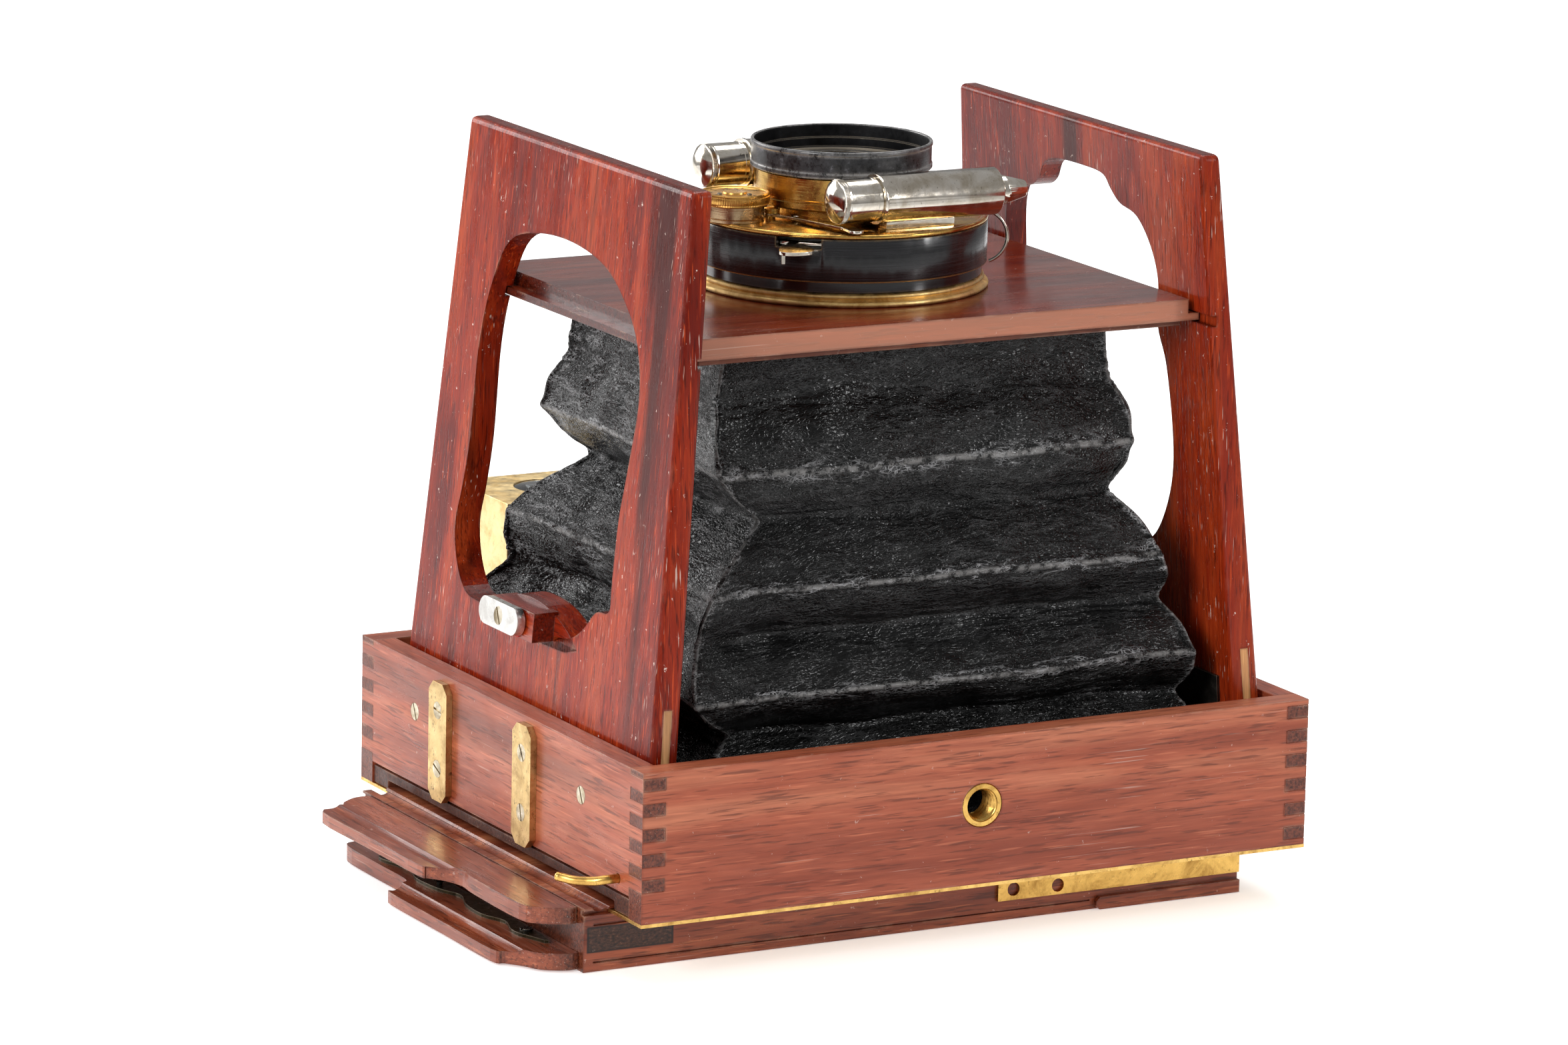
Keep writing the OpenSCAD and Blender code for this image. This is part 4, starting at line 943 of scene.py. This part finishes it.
def make_barrel(material):
    """Barrel with a groove round it, under the hood."""
    low, high = (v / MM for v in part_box("lens_barrel"))
    r, z0, z1 = high.x, low.z, high.z
    profile = [(17.5, z0), (20.5, z0), (20.5, z0 + 2.9), (r - 0.6, z0 + 2.9), (r, z0 + 3.5),
               (r, z0 + 5.0), (r - 0.35, z0 + 5.3), (r - 0.35, z0 + 5.7), (r, z0 + 6.0),
               (r, z1 - 0.5), (r - 0.4, z1), (19.5, z1), (19.5, z0 + 5), (17.5, z0 + 5)]
    turned_piece("lens_barrel_turned", profile, material, "lens_board", ["lens_barrel"])


def make_hood(material, inside):
    """Hood with a rolled lip, a step near its foot and anti-glare rings inside."""
    low, high = (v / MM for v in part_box("lens_hood"))
    r, z0, z1 = high.x, low.z, high.z
    bore = 24.5
    neck = r - 0.25
    profile = [(19.5, z0), (neck, z0), (r, z0 + 0.3), (r, z0 + 1.3), (neck, z0 + 1.6), (neck, z1 - 1.4)]
    profile += [(r, z1 - 1.1), (r, z1 - 0.4)] + arc(((r + bore) / 2, z1 - 0.5), 0.5, 20, 160)
    profile += [(bore, z1 - 0.9), (bore, z0 + 4.0), (bore - 0.4, z0 + 3.7), (bore - 0.4, z0 + 1.4)]
    for i in range(5):
        top = z0 + 1.2
        profile += [(bore - 0.6 - i * 0.85, top), (bore - 0.8 - i * 0.85, top - 0.35),
                    (bore - 1.15 - i * 0.85, top - 0.35)]
    profile += [(19.5, z0 + 0.6)]
    hood = turned_piece("lens_hood_ringed", profile, material, "lens_board", ["lens_hood"])
    hood.data.materials.append(inside)
    for face in hood.data.polygons:
        middle = face.center / MM
        if math.hypot(middle.x, middle.y) < bore + 0.1 and middle.z < z1 - 0.6:
            face.material_index = 1


def make_front_lens(material):
    """Front glass, bulging on both faces."""
    low, high = (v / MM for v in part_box("front_lens"))
    r = 19.45
    profile = [(0.001, low.z)]
    for i in range(1, 25):
        t = i / 24
        profile.append((r * t, low.z + 1.6 * t * t))
    for i in range(24, 0, -1):
        t = i / 24
        profile.append((r * t, high.z - 1.6 * t * t))
    profile.append((0.001, high.z))
    turned_piece("front_lens_glass", profile, material, "lens_board", ["front_lens"])


def make_dial(material, dark):
    """Speed dial: milled rim between two beads, a sunk face, a centre screw head and cut marks."""
    low, high = (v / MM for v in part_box("speed_dial"))
    cx, cy = (low.x + high.x) / 2, (low.y + high.y) / 2
    r, z0, z1 = (high.x - low.x) / 2, low.z, high.z
    pin = 2.05

    def milled(angle, radius, height):
        near = 1 if radius > (r - 0.5) * MM and z0 + 0.5 < height / MM < z1 - 0.6 else 0
        return -0.10 * MM * near * (0.5 + 0.5 * math.cos(90 * angle))

    profile = [(pin, z0), (r - 0.5, z0), (r - 0.1, z0 + 0.3), (r - 0.15, z0 + 0.7), (r, z0 + 1.0),
               (r, z1 - 1.0), (r - 0.15, z1 - 0.8)]
    profile += arc((r - 0.6, z1 - 0.45), 0.45, -10, 170, 5)
    profile += [(r - 1.3, z1 - 0.55), (3.4, z1 - 0.55), (3.2, z1 - 0.1), (1.2, z1 - 0.1), (0.001, z1 - 0.1),
                (0.001, z0 + 2.9), (pin, z0 + 2.9)]
    turned_piece("speed_dial_milled", profile, material, "speed_dial", ["speed_dial"], (cx, cy),
                 360, milled)
    made = bmesh.new()
    for i in range(10):
        a = math.radians(36 * i + 10)
        at = Vector((cx + (r - 2.6) * math.cos(a), cy + (r - 2.6) * math.sin(a), z1 - 0.53)) * MM
        turn = Matrix.Rotation(a, 4, "Z")
        size = Matrix.Diagonal((2.0 * MM, 0.35 * MM, 0.10 * MM, 1))
        bmesh.ops.create_cube(made, size=1, matrix=Matrix.Translation(at) @ turn @ size)
    for i in range(3):
        a = math.radians(120 * i + 60)
        at = Vector((cx + (r - 5.0) * math.cos(a), cy + (r - 5.0) * math.sin(a), z1 - 0.45)) * MM
        bmesh.ops.create_cone(made, cap_ends=True, segments=20, radius1=0.75 * MM, radius2=0.6 * MM,
                              depth=0.4 * MM, matrix=Matrix.Translation(at))
    new_piece("dial_marks", mesh_of("dial_marks", made), dark, "speed_dial")


def make_dial_base(material):
    """Stepped foot and pin of the speed dial."""
    low, high = (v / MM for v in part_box("dial_base"))
    cx, cy = (low.x + high.x) / 2, (low.y + high.y) / 2
    r, z0 = (high.x - low.x) / 2, low.z
    top = z0 + 4.4
    profile = [(0.001, z0), (r, z0), (r, z0 + 0.7), (r - 0.5, z0 + 1.0), (r - 0.5, top - 0.9),
               (r - 0.2, top - 0.7), (r - 0.2, top - 0.2), (r - 0.5, top), (2.0, top), (2.0, high.z),
               (0.001, high.z)]
    turned_piece("dial_base_turned", profile, material, "lens_board", ["dial_base"], (cx, cy))


def cap_box(near):
    """The box of one of the two cylinder caps, in millimetres."""
    caps = NODES["cylinder_caps"]
    points = [caps.matrix_world @ v.co / MM for v in caps.data.vertices]
    points = [p for p in points if (p.y < 0) == near]
    return [Vector([pick(p[i] for p in points) for i in range(3)]) for pick in (min, max)]


def make_caps(material):
    """Both cylinder caps: domed end with a fine milled ring round its rim, turned about a line along X."""
    boxes = {"near_cylinder_cap": cap_box(True), "far_cylinder_cap": cap_box(False)}
    for name, (low, high) in boxes.items():
        r, tip, foot = (high.z - low.z) / 2, low.x, high.x
        rim, bore = tip + 2.3, 4.8
        profile = [(0.001, tip), (2.0, tip + 0.2), (3.8, tip + 0.75), (5.0, tip + 1.4),
                   (r - 0.35, rim - 0.25), (r - 0.3, rim), (r, rim + 0.25), (r, rim + 1.45),
                   (r - 0.35, rim + 1.65), (r - 0.35, rim + 1.9), (r - 0.12, rim + 2.15),
                   (r - 0.12, foot - 1.6), (r, foot - 1.4), (r, foot - 0.2), (r - 0.2, foot), (bore, foot),
                   (bore, rim + 2), (0.001, rim + 2)]

        def milled(angle, radius, height, rim=rim, r=r):
            band = 1 if radius > (r - 0.05) * MM and rim < height / MM < rim + 1.5 else 0
            return -0.2 * MM * band * (0.5 + 0.5 * math.cos(90 * angle))

        mesh = turned_mesh("cap", [(a * MM, b * MM) for a, b in profile], 540, ripple=milled)
        mesh.transform(Matrix.Rotation(math.radians(90), 4, "Y"))
        mesh.transform(Matrix.Translation(Vector((0, (low.y + high.y) / 2, (low.z + high.z) / 2)) * MM))
        crisp(mesh, 30)
        cap = new_piece(name, mesh, material, "lens_board")
        if low.y < 0:
            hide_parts("cylinder_caps")


def smooth_path(points, steps):
    """A smooth line through points."""
    out = []
    for i in range(len(points) - 1):
        p = [Vector(points[max(0, min(len(points) - 1, i + k))]) for k in (-1, 0, 1, 2)]
        for s in range(steps):
            t = s / steps
            out.append(0.5 * (2 * p[1] + (p[2] - p[0]) * t + (2 * p[0] - 5 * p[1] + 4 * p[2] - p[3]) * t * t
                              + (3 * p[1] - p[0] - 3 * p[2] + p[3]) * t ** 3))
    out.append(Vector(points[-1]))
    return out


def tube_mesh(name, path, radius, sides=28):
    """A round bar along a path, with a rounded tip."""
    rows = []
    normal = Vector((0, 0, 1))
    shrink = [1.0] * len(path)
    shrink[-3:] = (0.93, 0.72, 0.35)
    for i, point in enumerate(path):
        along = (path[min(i + 1, len(path) - 1)] - path[max(i - 1, 0)]).normalized()
        side = along.cross(normal).normalized()
        up = side.cross(along)
        rows.append([point + radius * shrink[i] * (math.cos(a) * side + math.sin(a) * up)
                     for a in (2 * math.pi * k / sides for k in range(sides))])
    return grid_mesh(name, rows)


def make_hook(material):
    """The slide hook, bent from round brass where it leaves the left wall."""
    start = Vector((-105, -74, 26.7))
    bend = [(5, 0, 0), (0, 0, 0), (-3.2, 0, 0), (-6.3, 2.2, -0.7), (-9.5, 6.6, -1.2), (-11.6, 9.2, -0.9),
            (-13.6, 10.8, -0.4)]
    path = [(start + p) * MM for p in smooth_path(bend, 8)]
    mesh = tube_mesh("hook", path, 1.28 * MM)
    new_piece("slide_hook_bent", mesh, material, "slide_hook", ["slide_hook"])


def make_button_pad(material):
    """A scrap of red felt between the turn button and its block."""
    made = bmesh.new()
    height = 81.9
    lean = math.atan((WING_FOOT[2] - WING_TOP[2]) / (WING_TOP[0] - WING_FOOT[0]))
    face = Vector((-wing_at(height)[1], 3.3, height)) * MM
    turn = Matrix.Rotation(lean, 4, "Y")
    spot = Matrix.Translation(Vector((-6.75, -6.2, -3.6)) * MM)
    size = Matrix.Diagonal((0.46 * MM, 4.2 * MM, 1.5 * MM, 1))
    bmesh.ops.create_cube(made, size=1, matrix=Matrix.Translation(face) @ turn @ spot @ size)
    bmesh.ops.bevel(made, geom=made.edges, offset=0.12 * MM, segments=2, profile=0.5, affect="EDGES")
    new_piece("button_pad", mesh_of("button_pad", made), material, "left_wing")


# ---------------------------------------------------------------- the scene

def build():
    finish = make_finishes()
    for node, (name, bevel) in DRESSED.items():
        dress(node, finish[name], bevel)
    make_bellows(finish["leather"])
    make_bush(finish["brass"])
    make_flange(finish["flange"])
    make_cover(finish["turned"])
    make_barrel(finish["turned"])
    make_hood(finish["hood"], finish["blade"])
    make_front_lens(finish["glass"])
    make_dial(finish["dial"], finish["black_screw"])
    make_dial_base(finish["base"])
    make_caps(finish["nickel"])
    make_hook(finish["brass"])
    make_button_pad(finish["red"])


build()
make_camera()
make_studio()
